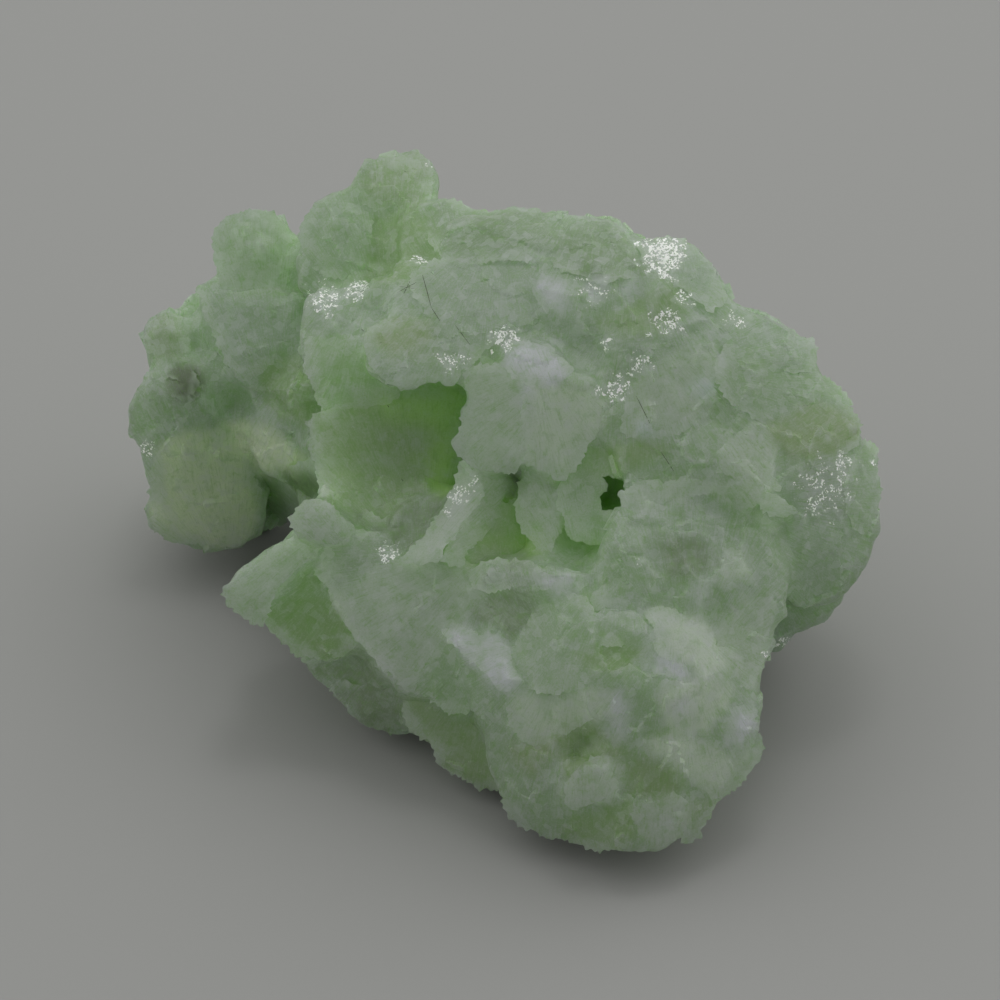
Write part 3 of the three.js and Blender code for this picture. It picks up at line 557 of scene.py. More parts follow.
# Where the mass shows past the outlines of the leaves it is pressed in to the nearest of them
def pressedIn(points):
    right, up, depth = toSketch(points)
    flat = np.column_stack([right, up])
    lost = np.ones(len(points), bool)
    for share in clusterLook["pressShares"]:
        for leaf in leaves.values():
            lost &= ~inside(leaf["outline"], right * share, up * share)
    rims = np.vstack([alongRim(np.array(leaf["outline"], float), 0.4)[0]  # a point every 0.4 mm
                      for leaf in leaves.values()])
    for i in np.flatnonzero(lost):
        flat[i] = rims[((rims - flat[i]) ** 2).sum(axis=1).argmin()]
    print("pressed in", lost.sum())
    return fromSketch(flat[:, 0], flat[:, 1], depth)


setPoints(massMesh, pressedIn(pointsOf(massMesh)))
massMesh = evenMesh(massMesh, clusterLook["mesh"])
points, normals = pointsOf(massMesh), normalsOf(massMesh)
swell, swellLength, swellSeed = clusterLook["massSwell"]
height = (sum(facetHeight(points, size, slope, seed) for size, slope, seed in clusterLook["massFacets"])
          + swell * waves(points, swellLength, swellSeed) - clusterLook["sunk"])
setPoints(massMesh, points + normals * height[:, None])
print("mass points", len(points))


def gathered(mesh, others):  # the mesh and every mesh of a collection as one, still overlapping
    work = bmesh.new()
    work.from_mesh(mesh)
    for other in list(others.objects):
        work.from_mesh(other.data)
        bpy.data.objects.remove(other)
    work.to_mesh(mesh)
    work.free()
    return mesh


def treeOf(mesh):
    faces = [tuple(face.vertices) for face in mesh.polygons]
    return BVHTree.FromPolygons([tuple(point) for point in pointsOf(mesh)], faces)


def depthSeen(tree, flat, near=-60.0, far=60.0):  # depth of what the eye sees at points of the sketch plane
    start, end = fromSketch(flat[:, 0], flat[:, 1], near), fromSketch(flat[:, 0], flat[:, 1], far)
    seen = np.full(len(flat), np.nan)
    for i, (a, b) in enumerate(zip(start, end)):
        length = np.linalg.norm(b - a)
        hit = tree.ray_cast(Vector(a), Vector((b - a) / length))[3]
        if hit is not None:
            seen[i] = near + hit * (far - near) / length
    return seen


plateShape = {
    "grid": 0.18,  # distance between points along the rim
    "cell": 0.6,  # and within it
    "tooth": 0.19,
    "teeth": ((spikes, 0.9, 0.65, 11), (spikes, 0.5, 0.37, 14), (blocks, 0.8, 1.5, 12),
              (wander, 0.5, 0.9, 13)),
    "toothStray": (0.8, 1.9),  # how far and over what length the teeth bunch up
    "spare": 0.15,  # how far a plate reaches past its outline, to meet the next one
    "tilt": 0.03,  # its right and upper sides sink in, and its left and lower sides stand out
    "thick": 0.5,
    "root": 4.0,  # how deep it reaches into the mass
    "rootSlope": 2.2,  # over how much of its width the root gets that deep
    "bevel": 0.12,
    "bevelWidth": 0.4,
    "swell": 0.05,
    "swellLength": 2.6,
}

# Thin plates and patches that lie on the leaves: tone, how far they stand out (None for colour alone), how
# their depth leans (None to lie on what is below, or slopes to the right and up, and maybe their depth) and
# their outline
plates = {
    "overhangLobe": ("olive", 0.16, None, [(-15.5, 12.8), (-14.6, 13.2), (-12.4, 13), (-10.7, 12.4),
        (-10.2, 11), (-9.4, 9.9), (-8.3, 9.1), (-8.2, 8.3), (-9, 7.8), (-10.8, 7.1), (-12, 6.6),
        (-13.1, 6.7), (-13.9, 7.3), (-14.6, 8.2), (-15.1, 9.4), (-15.4, 10.8)]),
    "overhangLip": ("pale", 0.2, None, [(-10.7, 12.4), (-10.4, 13.6), (-9.1, 14.2), (-7.7, 14.6),
        (-6.1, 14.2), (-5.3, 13.3), (-4.3, 13), (-3.2, 11.8), (-2.7, 10.7), (-3.4, 9.8), (-4, 9.3),
        (-4.6, 9.6), (-5.6, 9.4), (-6.9, 8.9), (-8, 9), (-9.1, 9.7), (-10.1, 10.7)]),
    "overhangPatch": ("yellow", None, None, [(-10.4, 13.3), (-9.8, 14.2), (-8.3, 14.7), (-6.6, 14.7),
        (-5.4, 13.8), (-5.3, 12.8), (-6.1, 12), (-7.5, 11.7), (-9.1, 11.8), (-10.2, 12.3)]),
    "striped": ("pale", 0.06, None, [(-7, 17), (-6.7, 18.4), (-5.6, 19), (-3, 19), (-0.6, 19), (1.8, 19.4),
        (3.4, 18.9), (4.2, 17.6), (4, 15.7), (2.9, 14.6), (1.1, 13.7), (0, 13.1), (-1.1, 12.2),
        (-2.1, 11.4), (-2.7, 10.7), (-3.5, 12.2), (-4.6, 13.4), (-5.3, 14.7), (-6.4, 15.5)]),
    "overhangTop": ("pale", None, None, [(-15.4, 16), (-14.2, 16.8), (-12.6, 16.6), (-11, 17.3),
        (-9.6, 16.8), (-8.2, 17.4), (-7, 16.8), (-6.4, 15.4), (-7.7, 14.7), (-9.3, 14.4), (-10.4, 13.6),
        (-10.9, 12.5), (-12.5, 13), (-14.6, 13.3), (-15.4, 14.2)]),
    "recessFace": ("dusk", 0, (0.12, -0.1, -4.9), [(-15, 4.8), (-15.4, 6), (-14.7, 7), (-12.4, 7.6),
        (-10.4, 8.2), (-9.2, 8.5), (-7, 9.1), (-5.6, 9.4), (-4, 9.9), (-2.7, 10.1), (-2.1, 8.3),
        (-2.4, 6.4), (-2.4, 5.1), (-3, 4.3), (-3, 3), (-2.7, 2.6), (-3.5, 1.4), (-4.3, 0), (-5.8, 0.6),
        (-7, 0), (-8.2, -1), (-9.3, -1.7), (-10.6, -1), (-12, -1), (-13, -0.4), (-13.6, -0.8), (-14.1, 0.5),
        (-14.6, 2.4), (-15, 3.8)]),
    # Painted light: the shaded top and slope of the recess take a lighter copy of the leaf tone
    "recessShade": ("leaflight", None, None, [(-10.2, 7.4), (-8.4, 8.3), (-7, 8.8), (-5.6, 9.1), (-4, 9.6),
        (-2.7, 9.9), (-2.4, 8.2), (-2.9, 6.8), (-2.7, 5.6), (-3.6, 4.8), (-4.8, 5.4), (-7.2, 6),
        (-9.2, 6.6)]),
    "recessSlope": ("leaflight", None, None, [(-4.8, 5.4), (-3.6, 5), (-3.4, 3.5), (-2.7, 2.7), (-3.4, 1.6),
        (-4, 0.6), (-4.8, 0), (-5.6, 0.8), (-6, 2.8), (-5.6, 4.4)]),
    "recessEdge": ("ice", 0.14, (0.12, -0.1, -4.9), [(-15.1, 4.8), (-14.8, 3.6), (-14.4, 1.6), (-14, -0.4),
        (-13.7, -0.4), (-14.1, 1.6), (-14.5, 3.6), (-14.8, 4.8)]),
    "recessFloor": ("smoke", 0.05, None, [(-13.1, -1.2), (-11.8, -1), (-10.6, -1), (-9.3, -1.7),
        (-8.2, -1), (-7, 0), (-5.6, 0.2), (-4, 0.2), (-4.5, -1.1), (-5.3, -2.2), (-6.4, -3.3),
        (-7.7, -4.2), (-8.6, -3.9), (-8.9, -2.7), (-10.1, -2.5), (-11.8, -1.9)]),
    # Painted shade: a sheet across the triangular hollow takes a darker copy of the leaf tone
    "triangle": ("leafshade", 0, (0.05, 0.15, -7.7), [(-2.4, 0), (-0.6, 1.2), (-0.2, -0.1), (0.7, -0.4),
        (1.6, 0), (2, 1.6), (2.6, 1.8), (3.6, -0.8), (4.2, -3.6), (3.6, -5.8), (0, -5.9), (-3.2, -5.9),
        (-3.5, -3.8), (-3, -1.6)]),
    "triangleShade": ("leaf", None, None, [(0.2, 0), (1.2, 0.3), (1.5, -1.4), (2.4, -2.6), (3, -3.8),
        (2.4, -5), (0, -5), (-1.6, -5.1), (-2.9, -5.3), (-2.4, -4), (-1.8, -3.2), (-1.1, -3), (-1, -2.2),
        (-0.4, -1.4)]),
    "triangleFloor": ("smoke", None, None, [(-3, -5.4), (-2.1, -4.2), (0, -3.7), (1.4, -3.8), (2.2, -4.5),
        (2.6, -5), (1.6, -5.1), (0, -5), (-1.6, -5.1)]),
    "underRight": ("green", 0, (-0.1, 0.12, -9.4), [(5, 1.1), (5.8, 3), (7.2, 4), (8.5, 4.8),
        (11.2, 4.8), (12, 2.8), (10.4, 2), (8.3, 1.8), (8.7, 0.9), (8.1, 0.2), (8.2, -0.9), (10.2, -1.2),
        (10, -2.6), (8, -3.5), (5.9, -3.2), (4.8, -0.8)]),
    "bladeFace": ("ice", 0.55, (-0.25, 0.45), [(-2.8, 2.7), (-1.8, 1.6), (-1.3, 0.8), (-2.2, -0.8),
        (-3.4, -2.4), (-4.8, -4.6), (-6.4, -5.3), (-7.7, -4.9), (-6.6, -3.6), (-5.4, -2.2), (-4.5, -0.8),
        (-3.7, 0.8)]),
    "bladeSide": ("milkpale", 0.35, (0.4, 0.05), [(-2.9, 2.8), (-1.2, 2.8), (0.6, 1.8), (0.6, 0.8),
        (0.2, -0.1), (-0.5, -1.3), (-1.1, -2.4), (-1.3, -3), (-1.9, -3.3), (-2.4, -4.2), (-3, -5.3),
        (-4.8, -5), (-4, -3.6), (-2.9, -1.8), (-1.9, 0), (-1.4, 1.1)]),
    "middleLeft": ("milk", 0.3, None, [(-2.7, 10.2), (-2.2, 10.8), (-0.8, 10.6), (0.2, 10.7), (1, 10.4),
        (2.2, 10.1), (2.9, 9), (2.7, 7.2), (2.6, 5.2), (2.4, 3.6), (1.9, 2.9), (1, 2.2), (-0.6, 2.2),
        (-1.8, 2.6), (-2.6, 2.9), (-3.2, 3.4), (-3.6, 4.6), (-3, 5.4), (-2.9, 6.1), (-3.2, 6.6),
        (-2.6, 7.2), (-2.4, 8.3), (-2.7, 9.3)]),
    "middleRight": ("mist", 0.22, None, [(2.2, 9), (3.6, 9.3), (5.6, 9.1), (7.2, 9), (8, 8.5), (8.3, 7.5),
        (8.2, 6.1), (7.4, 4.8), (6.6, 3.8), (6.2, 2.7), (5.3, 1.6), (4.2, 1.8), (3.2, 2.4), (2.2, 3),
        (2.1, 4.8), (1.9, 7.2)]),
    "middlePatch": ("white", 0.12, None, [(0.9, 12.5), (2.4, 12.5), (3.8, 12.2), (4.8, 11.4), (5.8, 10.6),
        (5.3, 9.6), (3.8, 9.1), (2.4, 9.4), (1.1, 10.1), (0.4, 11)]),
    "underMiddle": ("milkpale", 0.3, None, [(1.7, 1.2), (2.4, 1.8), (3.7, 1.5), (4.8, 1.4), (5.6, 0.7),
        (5.6, -0.6), (5.2, -2.2), (4.4, -3.6), (3.6, -5), (2.7, -4.9), (2.9, -3.9), (2.3, -2.7),
        (1.5, -1.5), (1.3, -0.4), (1.7, 0.3)]),
    "middleRidge": ("white", None, None, [(1.6, 9.4), (2.6, 9.2), (2.6, 7.6), (2.4, 6.2), (1.7, 6.4),
        (1.8, 7.8)]),
    # Painted shadow: a dark spot where a small hole's shade falls; the skin has no hole there
    "pinholeShade": ("pit", None, (0.05, 0.15, -4.6), [(0.3, 2.4), (1.6, 2.6), (1.7, 1.4), (1.3, 0.4), (0.2, -0.3),
        (0.6, 0.6)]),
    # Painted shade: the small notch is darkened beyond its own shade
    "sideHole": ("pit", None, (-0.1, 0.12, -6.2), [(8.1, 1.7), (9.5, 1), (8.8, 0.2), (9.1, -0.6), (7.9, -0.6),
        (8.4, 0.5)]),
    "ruffled": ("grey", 0.24, None, [(-16.6, -2.2), (-16.6, -1.6), (-16.2, -1.2), (-16, -0.6),
        (-15.3, -0.1), (-14.3, -0.2), (-13.5, -0.6), (-12.8, -1.4), (-11.8, -2.3), (-12.3, -3.1),
        (-13.4, -3.6), (-14.6, -3.3), (-15.7, -3.2), (-16.2, -2.7)]),
    "striated": ("grey", 0.05, None, [(-14.6, -3.6), (-13.2, -3.6), (-11.8, -2.6), (-10.7, -2.6),
        (-9.3, -3), (-8.8, -4.2), (-8.6, -5), (-10.4, -5.3), (-11.7, -5.8), (-12.3, -6.5), (-12.9, -7.3),
        (-13.6, -6.4), (-14.2, -5.2)]),
    "frontLeaf": ("milkpale", 0.14, None, [(-15, -5), (-14.2, -5.2), (-13.5, -6.5), (-12.8, -7.4),
        (-11.8, -6.4), (-10.4, -5.6), (-8, -5.1), (-4.8, -5.3), (-2.4, -5.2), (-1.1, -5.9), (-1, -7.4),
        (-1.9, -8.5), (-2.7, -9.8), (-3.8, -10.6), (-4.5, -12), (-5.3, -13.1), (-6.4, -14.1), (-7, -15.4),
        (-7.8, -15.2), (-8.9, -13.7), (-10, -12.4), (-11, -11.2), (-12, -9.6), (-13, -8), (-14.2, -6.5)]),
    "frontRim": ("ice", 0.3, None, [(-14.6, -5.2), (-14, -6.6), (-12.6, -9.8), (-10.8, -12.2), (-9, -13.9),
        (-8.8, -13.6), (-10.5, -11.9), (-12.2, -9.5), (-13.6, -6.4), (-14.2, -5.1)]),
    "frontLobe": ("milk", 0.22, None, [(-10.9, -5.8), (-9.6, -5.3), (-7.7, -5.1), (-6.4, -5.6),
        (-6, -6.9), (-6.4, -8.2), (-7.4, -9), (-8.6, -9.4), (-9.9, -8.9), (-10.7, -7.8), (-11, -6.7)]),
    "fanBand": ("milkpale", 0.2, None, [(-22, -7.8), (-21.6, -7.1), (-20.6, -6.6), (-19.4, -5.9), (-19, -4.8),
        (-18.4, -4.1), (-17.3, -3.4), (-16.2, -2.8), (-15, -3.3), (-14.3, -3.9), (-15.1, -4.8),
        (-16.2, -5.4), (-17, -6.2), (-17.7, -7), (-18.4, -8.2), (-18.7, -9.2), (-19, -10.1), (-20, -9.9),
        (-21, -9.4), (-21.7, -8.6)]),
    "fanPanel": ("leafpale", 0.06, None, [(-18.8, -9.8), (-18.6, -9), (-17.5, -8.4), (-16.5, -7.2),
        (-15.7, -5.8), (-15, -5.3), (-14.2, -7.2), (-13.2, -8.5), (-12.3, -10), (-11.4, -11.3),
        (-11.8, -12.2), (-12.8, -12.7), (-14.4, -12.9), (-16, -12.8), (-17.1, -11.9), (-18, -11)]),
    "underFan": ("smoke", 0.05, None, [(-15.8, -13), (-14.2, -13), (-12.5, -12.8), (-11.5, -11.6),
        (-10.5, -12.4), (-9.8, -13.8), (-9.1, -15.2), (-10.3, -15.6), (-11.6, -15.2), (-12.5, -14.4),
        (-13.9, -14.2), (-15, -13.8)]),
    "ledgeLeft": ("smoke", 0.05, None, [(-13.6, -14.7), (-12.3, -14.9), (-10.4, -15.5), (-9, -15),
        (-7.8, -15.6), (-7.7, -17.1), (-8.6, -18.2), (-9.7, -18.6), (-10.8, -17.8), (-11.9, -16.5),
        (-13, -16.2)]),
    "ledgeRight": ("deepgreen", 0.08, None, [(-7.7, -15.7), (-6.3, -15.8), (-5.1, -16.4), (-3.8, -17.4),
        (-2.4, -17.3), (-1.8, -17.8), (-1.1, -19.7), (-0.4, -20.8), (0.1, -22.4), (-0.2, -23.6),
        (-1, -23.4), (-1.6, -23.8), (-2, -23), (-2.6, -22.4), (-3.8, -21.8), (-4.6, -21.6), (-5.1, -20.4),
        (-5.6, -19.4), (-6.4, -19), (-7, -18.4), (-7.6, -17.3)]),
    "ledgeTop": ("grey", None, None, [(-9.8, -13.4), (-8.6, -13.9), (-7.5, -14.2), (-6.3, -15.7),
        (-7.7, -15.4), (-9, -15)]),
    "ledgeFace": ("green", 0.06, None, [(-5.4, -13.3), (-4, -14.4), (-2.8, -15.2), (-2.1, -16.5),
        (-2.6, -17.3), (-3.9, -17.4), (-5, -16.3), (-5.9, -15.7), (-6.7, -15), (-6.2, -14.1)]),
    "whiteBand": ("white", 0.05, None, [(-4.4, -10.7), (-3.6, -10.3), (-2.6, -10.1), (-1.6, -11.2),
        (-0.6, -10.3), (0.2, -11.2), (1, -12.2), (0.6, -13), (1.2, -13.8), (1.4, -14.6), (0.7, -15.4),
        (-0.1, -15.2), (-1, -14.2), (-1.8, -13.2), (-3, -12.2), (-3.9, -11.4)]),
    "noseDip": ("smoke", None, None, [(-1.8, -8.2), (-0.4, -7.6), (1.2, -7), (2.5, -7.3), (3, -8.1),
        (2.6, -9.3), (1.8, -10.4), (0.8, -11.3), (0.1, -10.5), (-0.7, -9.9), (-1.7, -9.9), (-2.3, -9.1)]),
    "lip": ("grey", 0.1, None, [(-2.6, -6.1), (-1.1, -5.4), (0.2, -5), (2.1, -5), (3.5, -5.6), (4.5, -6.1),
        (3.8, -7.2), (2.7, -6.9), (1.2, -7), (-0.6, -7.5), (-2, -7.2)]),
    "lipWhite": ("white", 0.08, None, [(3.2, -6), (4.2, -6.2), (5.6, -5.9), (7.3, -6.4), (6.7, -7),
        (5.7, -7.4), (4.3, -7.5), (3.4, -7)]),
    "noseFace": ("green", 0.06, None, [(1.2, -12.4), (2.2, -10.2), (3.2, -8.2), (5.2, -7.8), (7, -8),
        (7.5, -9.3), (9, -9.6), (11.2, -9), (12.4, -8.7), (11.7, -10.1), (11.3, -11.2), (9.6, -11.6),
        (7.8, -11.9), (6.2, -12.1), (6.1, -12.9), (7.4, -13.4), (8, -14.1), (7, -15), (5.4, -15.4),
        (3.8, -15.7), (2.2, -15.2), (1.5, -13.9)]),
    "noseBand": ("leafpale", None, None, [(6, -12.2), (7.8, -11.8), (9.8, -11.5), (12, -11.5),
        (12.5, -12.3), (11.2, -12.8), (10.2, -13.4), (8.8, -13.8), (7.7, -13.4), (6.4, -13)]),
    "noseRidge": ("pale", 0.06, None, [(7.4, -8), (8.3, -7), (9.8, -6.7), (11.6, -7.2), (12.2, -8.5),
        (10.4, -9), (8.8, -9.4), (7.7, -9)]),
    "noseLow": ("mist", 0.05, None, [(1.6, -15.3), (4, -15.8), (6.4, -15.4), (8, -15.1), (9, -15.4),
        (9.3, -16.4), (8.5, -17.4), (7, -18.2), (5.6, -18.8), (4.1, -19.4), (2.8, -19.7), (1.6, -19.2),
        (0.8, -18), (0.6, -16.5)]),
    "noseStrip": ("white", None, None, [(9, -15.2), (9.8, -15.1), (10.3, -16.4), (10.3, -18), (10, -19.4),
        (9, -19.4), (8.4, -18.6), (8.7, -17)]),
    "noseYellow": ("yellow", None, None, [(0.6, -19.6), (1.9, -19.7), (3.6, -19.4), (4.9, -19),
        (4.2, -20.2), (3.3, -21.2), (2.2, -22.1), (1.1, -21.3)]),
    "noseCave": ("moss", None, None, [(4.8, -19), (5.8, -18.2), (7.2, -17.8), (8.5, -18.7), (9.5, -19.6),
        (10.3, -20.4), (9.6, -20.9), (8.4, -20.6), (7.3, -20.9), (6.2, -21.6), (5.6, -22.4), (5, -22.1),
        (4.8, -20.5)]),
    # Painted shade: a dark spot in the hollow of the nose
    "caveHoleShade": ("deep", None, None, [(5.8, -19.5), (6.4, -19), (7.4, -19.2), (6.7, -19.8), (6.2, -20.5),
        (5.8, -21.1), (5.4, -20.6)]),
    "lump": ("milk", 0.05, None, [(6.6, -21.5), (7.4, -20.8), (8.6, -20.5), (9.6, -21.1), (9.8, -22.4),
        (9.3, -23.6), (8, -24.2), (6.8, -24.6), (5.9, -25), (5.4, -24), (5.7, -22.7)]),
    "lumpRim": ("milk", 0.05, None, [(4.8, -22.4), (5.3, -22.2), (5.6, -23.8), (5.8, -25.2), (5.2, -25),
        (4.6, -23.7)]),
    "bottomLeft": ("green", 0.05, None, [(0.2, -23.8), (1.6, -23.1), (3.2, -23.2), (4.5, -24), (5.2, -25.6),
        (4.8, -27.2), (3.6, -27.3), (2, -26.4), (0.9, -25.4)]),
    "bottomMiddle": ("leafpale", 0.05, None, [(5.2, -25.6), (6.4, -25), (8, -24.6), (9.6, -24),
        (10.5, -23.7), (11.2, -25), (10.7, -26.5), (10.2, -27.6), (9, -28.1), (7.8, -28.4), (6.8, -27.8),
        (5.7, -27.6), (4.8, -27)]),
    "lumpRight": ("milk", 0.05, None, [(11.2, -24.2), (12.4, -23.8), (13.8, -23.6), (14.8, -24.4),
        (15.2, -25.6), (14.6, -27), (13.3, -28), (12, -27.9), (11.2, -27), (10.9, -25.6)]),
    "lumpCloud": ("white", None, None, [(12.2, -25.8), (13.1, -25.4), (14.2, -25.9), (14.2, -26.7),
        (13.1, -27.2), (12.2, -26.7)]),
    "noseGreen": ("moss", None, None, [(10, -21.3), (11.2, -20.5), (12.8, -20.9), (14, -22), (15, -23.2),
        (13.8, -23.5), (12.4, -23.5), (11.2, -23.9), (10.3, -23.6), (9.9, -22.4)]),
    "rightFace": ("mist", 0.07, None, [(11.4, -9), (12.8, -8.4), (14.8, -9.5), (16, -9.2), (17.2, -10.4),
        (17.5, -12), (18.1, -13.4), (17, -14.2), (16, -13.8), (14.8, -13.1), (13.4, -12.5), (12.5, -12),
        (12.8, -11.2), (12.4, -10)]),
    "rightCloud": ("white", None, None, [(11.2, -12.6), (12.2, -12.2), (13.4, -12.5), (14.6, -13),
        (15.4, -13.8), (14.6, -14.3), (13.2, -14.1), (12, -13.4)]),
    "rightMiddle": ("mist", 0.06, None, [(14.8, -14.5), (16.4, -14.3), (18.1, -14.5), (18.8, -15.2),
        (18.4, -16.5), (17.3, -17.3), (16.5, -18.4), (15.2, -18.8), (13.6, -18.2), (12.8, -17),
        (12.4, -15.7), (13.2, -14.8)]),
    "rightSpot": ("white", None, None, [(13.8, -16.3), (14.7, -15.8), (15.4, -16.6), (15, -17.6),
        (14.2, -17.8)]),
    "rightEdgeCloud": ("white", 0.05, None, [(18.9, -17), (20.2, -16.5), (20.7, -17.3), (20.2, -18.8),
        (19.4, -19.6), (18.2, -19.4), (17.8, -18.4)]),
    "rightLow": ("mist", None, None, [(11.2, -19.3), (13.2, -18.8), (15.2, -19.2), (16.8, -19.6),
        (18, -20.2), (18.8, -21.2), (18.2, -22.4), (17, -23.3), (16, -23), (15.2, -22), (13.8, -21),
        (12.4, -20.4), (11.4, -20.2)]),
    "rightRim": ("milk", 0.05, None, [(19, -20.1), (20.4, -19.6), (21, -18.8), (21.2, -20.1), (20.6, -21.6),
        (19.6, -22.8), (18.4, -23.6), (17.2, -24), (16.9, -23.4), (18, -22.6), (19, -21.4)]),
    "bottomRight": ("milkgreen", 0.05, None, [(15.3, -24), (16.5, -23.9), (17.7, -24.2), (17, -25.6),
        (16, -27), (14.9, -27.6), (15.3, -25.9)]),
    "rightGreen": ("milkpale", 0.05, None, [(18.1, -8.8), (19.6, -7.8), (21.4, -7.2), (22.2, -8.2),
        (21.8, -10), (21.4, -12), (21.1, -13.8), (20, -15.2), (19, -14.7), (18.2, -13.4), (17.6, -11.8),
        (17.4, -10.4)]),
    "apronShade": ("smoke", None, None, [(12.8, -3.6), (14.4, -2.8), (16.2, -3.2), (17.2, -4.2),
        (17, -5.4), (15.6, -6), (14, -6.2), (13, -5.3)]),
    "apronLight": ("milk", None, None, [(17.2, -4.5), (18.2, -4), (19.4, -3.8), (20.2, -4.8), (19.8, -6.1),
        (18.4, -6.6), (17.3, -5.9)]),
    "apronSpot": ("white", None, None, [(15.2, -7.4), (16, -6.6), (16.6, -7), (16.2, -8), (15.4, -8.2)]),
    "domeFace": ("milk", 0.08, None, [(10.6, 9), (11.7, 10.4), (13.6, 11.5), (15.2, 12.3), (17, 12.1),
        (18, 11.1), (17.6, 9.6), (16.1, 8.6), (16.4, 7.2), (15.2, 5.6), (13.6, 5.4), (12, 5.6), (10.9, 5),
        (9.9, 5.4), (10.2, 7.4)]),
    "domeCloud": ("cloud", None, None, [(15.2, 9.3), (16.5, 9.8), (17.3, 9), (16.5, 8.2), (15.5, 8.2)]),
    "domeCloudLow": ("cloud", None, None, [(10.9, 6.1), (11.7, 6.7), (12.2, 5.8), (11.8, 5), (11, 5.1)]),
    "bridge": ("green", None, None, [(8.2, 8.3), (9.6, 8.4), (10.6, 8.2), (10.1, 6.1), (9.8, 4.8),
        (8.2, 4.6), (7.2, 4.1), (7.8, 5), (8.4, 5.8)]),
    "shadeHollow": ("deepgreen", None, None, [(7, 3.8), (8.8, 4.4), (11.2, 4.8), (12.8, 4.7), (13.3, 3.8),
        (12, 3), (10.4, 2.6), (9, 1.9), (8, 1.5), (7.2, 2.4)]),
    "domeBand": ("green", None, None, [(13.3, 3.8), (14.8, 4.8), (16.2, 5.3), (17.3, 4.3), (16.5, 2.7),
        (15.2, 1.6), (13.6, 1.2), (11.4, 1.8), (10, 2.2), (11.2, 3), (12.4, 3.3)]),
    "domeRidge": ("milk", 0.08, None, [(9.8, 0.2), (11.2, 1.5), (13.2, 1.2), (15.2, 1.7), (17.3, 1.6),
        (19.4, 1.2), (21.3, 0.8), (22.9, 0), (23.6, -1), (22.2, -1.2), (20.8, -0.5), (18.8, 0.2),
        (16.8, 0.6), (15.2, 0.6), (13.2, -0.1), (11.2, -0.5), (9.9, -0.7)]),
    "domeStep": ("milk", 0.07, None, [(17.4, 3.8), (18.8, 4.8), (20, 5.6), (21.2, 5.8), (22, 4.8),
        (22.3, 3.5), (21.8, 2.1), (22.4, 0.8), (20.8, 1.2), (19.3, 1.7), (17.8, 2.4)]),
    "domeYellow": ("yellow", 0.05, None, [(21.3, 6), (22.8, 6.8), (24.8, 7.8), (26.9, 7.6), (28.4, 7.2),
        (29, 6), (29, 4.8), (28, 4), (26.8, 3.8), (25.2, 3.2), (24, 3.4), (23, 3.6), (22.1, 4.7)]),
    "sparkle": ("grey", None, None, [(23.8, 2.9), (25.2, 3.1), (27, 3.6), (27.8, 2.6), (28, 0.8),
        (27.7, -0.5), (28.2, -1.6), (26.8, -1.3), (24.9, -0.8), (24, 0.4), (23.6, 1.8)]),
    "domeEdge": ("green", 0.05, None, [(28.3, 3.5), (29.4, 4.7), (30.1, 4.2), (30.2, 2.8), (30.6, 0.8),
        (30.2, -1.2), (29.4, -2.7), (28.4, -2.3), (27.8, -0.8), (28.1, 1.2)]),
    "domeGreen": ("leafpale", None, None, [(7.4, 14.2), (9.4, 15.2), (11, 16), (12, 16.8), (14.5, 17.3),
        (14.9, 16), (14.4, 14.4), (13.1, 13.5), (11.2, 13.2), (9.4, 13.2), (8, 13.6)]),
    "glintPlate": ("pale", 0.06, (0.05, 0.62), [(11.3, 20.3), (12.6, 20.9), (14.6, 20.8), (15.9, 20.2),
        (16.9, 19), (17.6, 17.6), (18.2, 16), (17.1, 15.3), (16, 16), (14.8, 17), (12.9, 18.2),
        (11.8, 19)]),
    "domeTopLeft": ("pale", 0.05, None, [(15, 16.8), (16, 16), (18, 15.4), (19.7, 14.8), (21.6, 14),
        (22.9, 13.2), (24.1, 12.8), (25, 12.6), (25.4, 11.5), (25, 10.6), (23.6, 10.2), (22, 11),
        (20.3, 11.9), (18.4, 12.6), (16.4, 13.2), (15.2, 14.6)]),
    "domeTopRight": ("green", 0.07, None, [(18.1, 12.4), (20.3, 11.8), (22, 10.9), (23.6, 10), (25.3, 10.2),
        (26.4, 9.6), (27.6, 8.6), (28.3, 7.6), (26.9, 7.8), (24.8, 7.9), (22.9, 7), (21.3, 6.3),
        (19.6, 7.2), (18.1, 8.4), (17.3, 9.9)]),
    "crownMiddle": ("grass", 0.05, None, [(4.5, 21.8), (6.4, 22.2), (8.4, 22.4), (10, 21.1), (11.2, 19.5),
        (12, 18.4), (11.2, 17.6), (9.6, 17.8), (8, 17.4), (6.7, 17.9), (5.2, 18.4), (4.1, 19.5)]),
    "crownCloud": ("white", 0.08, None, [(2.8, 17.2), (3.6, 17.8), (4.8, 17.6), (5.8, 17.2), (5.4, 16),
        (5, 15.2), (3.7, 15.4), (3, 16.2)]),
    "crownSpot": ("white", None, None, [(6.8, 17.2), (7.8, 17.6), (8.6, 17.1), (8.2, 16.2), (7.2, 16)]),
    "crownBar": ("white", None, None, [(9.6, 17), (10.7, 17.6), (11.8, 17.2), (11.2, 16.6), (10.1, 16.6)]),
    "crownLeft": ("grass", 0.05, None, [(-5.4, 23.5), (-4.3, 24.1), (-2.4, 23.5), (-0.8, 23), (1, 23.4),
        (3.2, 23.2), (4.4, 21.9), (4, 20.3), (2.4, 19.4), (0, 19.3), (-2.4, 19.3), (-4.3, 19.5),
        (-5.4, 20.8), (-5.7, 22.2)]),
    "spire": ("milkgreen", 0.05, None, [(-11.3, 25.5), (-10.2, 26.8), (-9.4, 27.5), (-8, 27.4), (-6.8, 28),
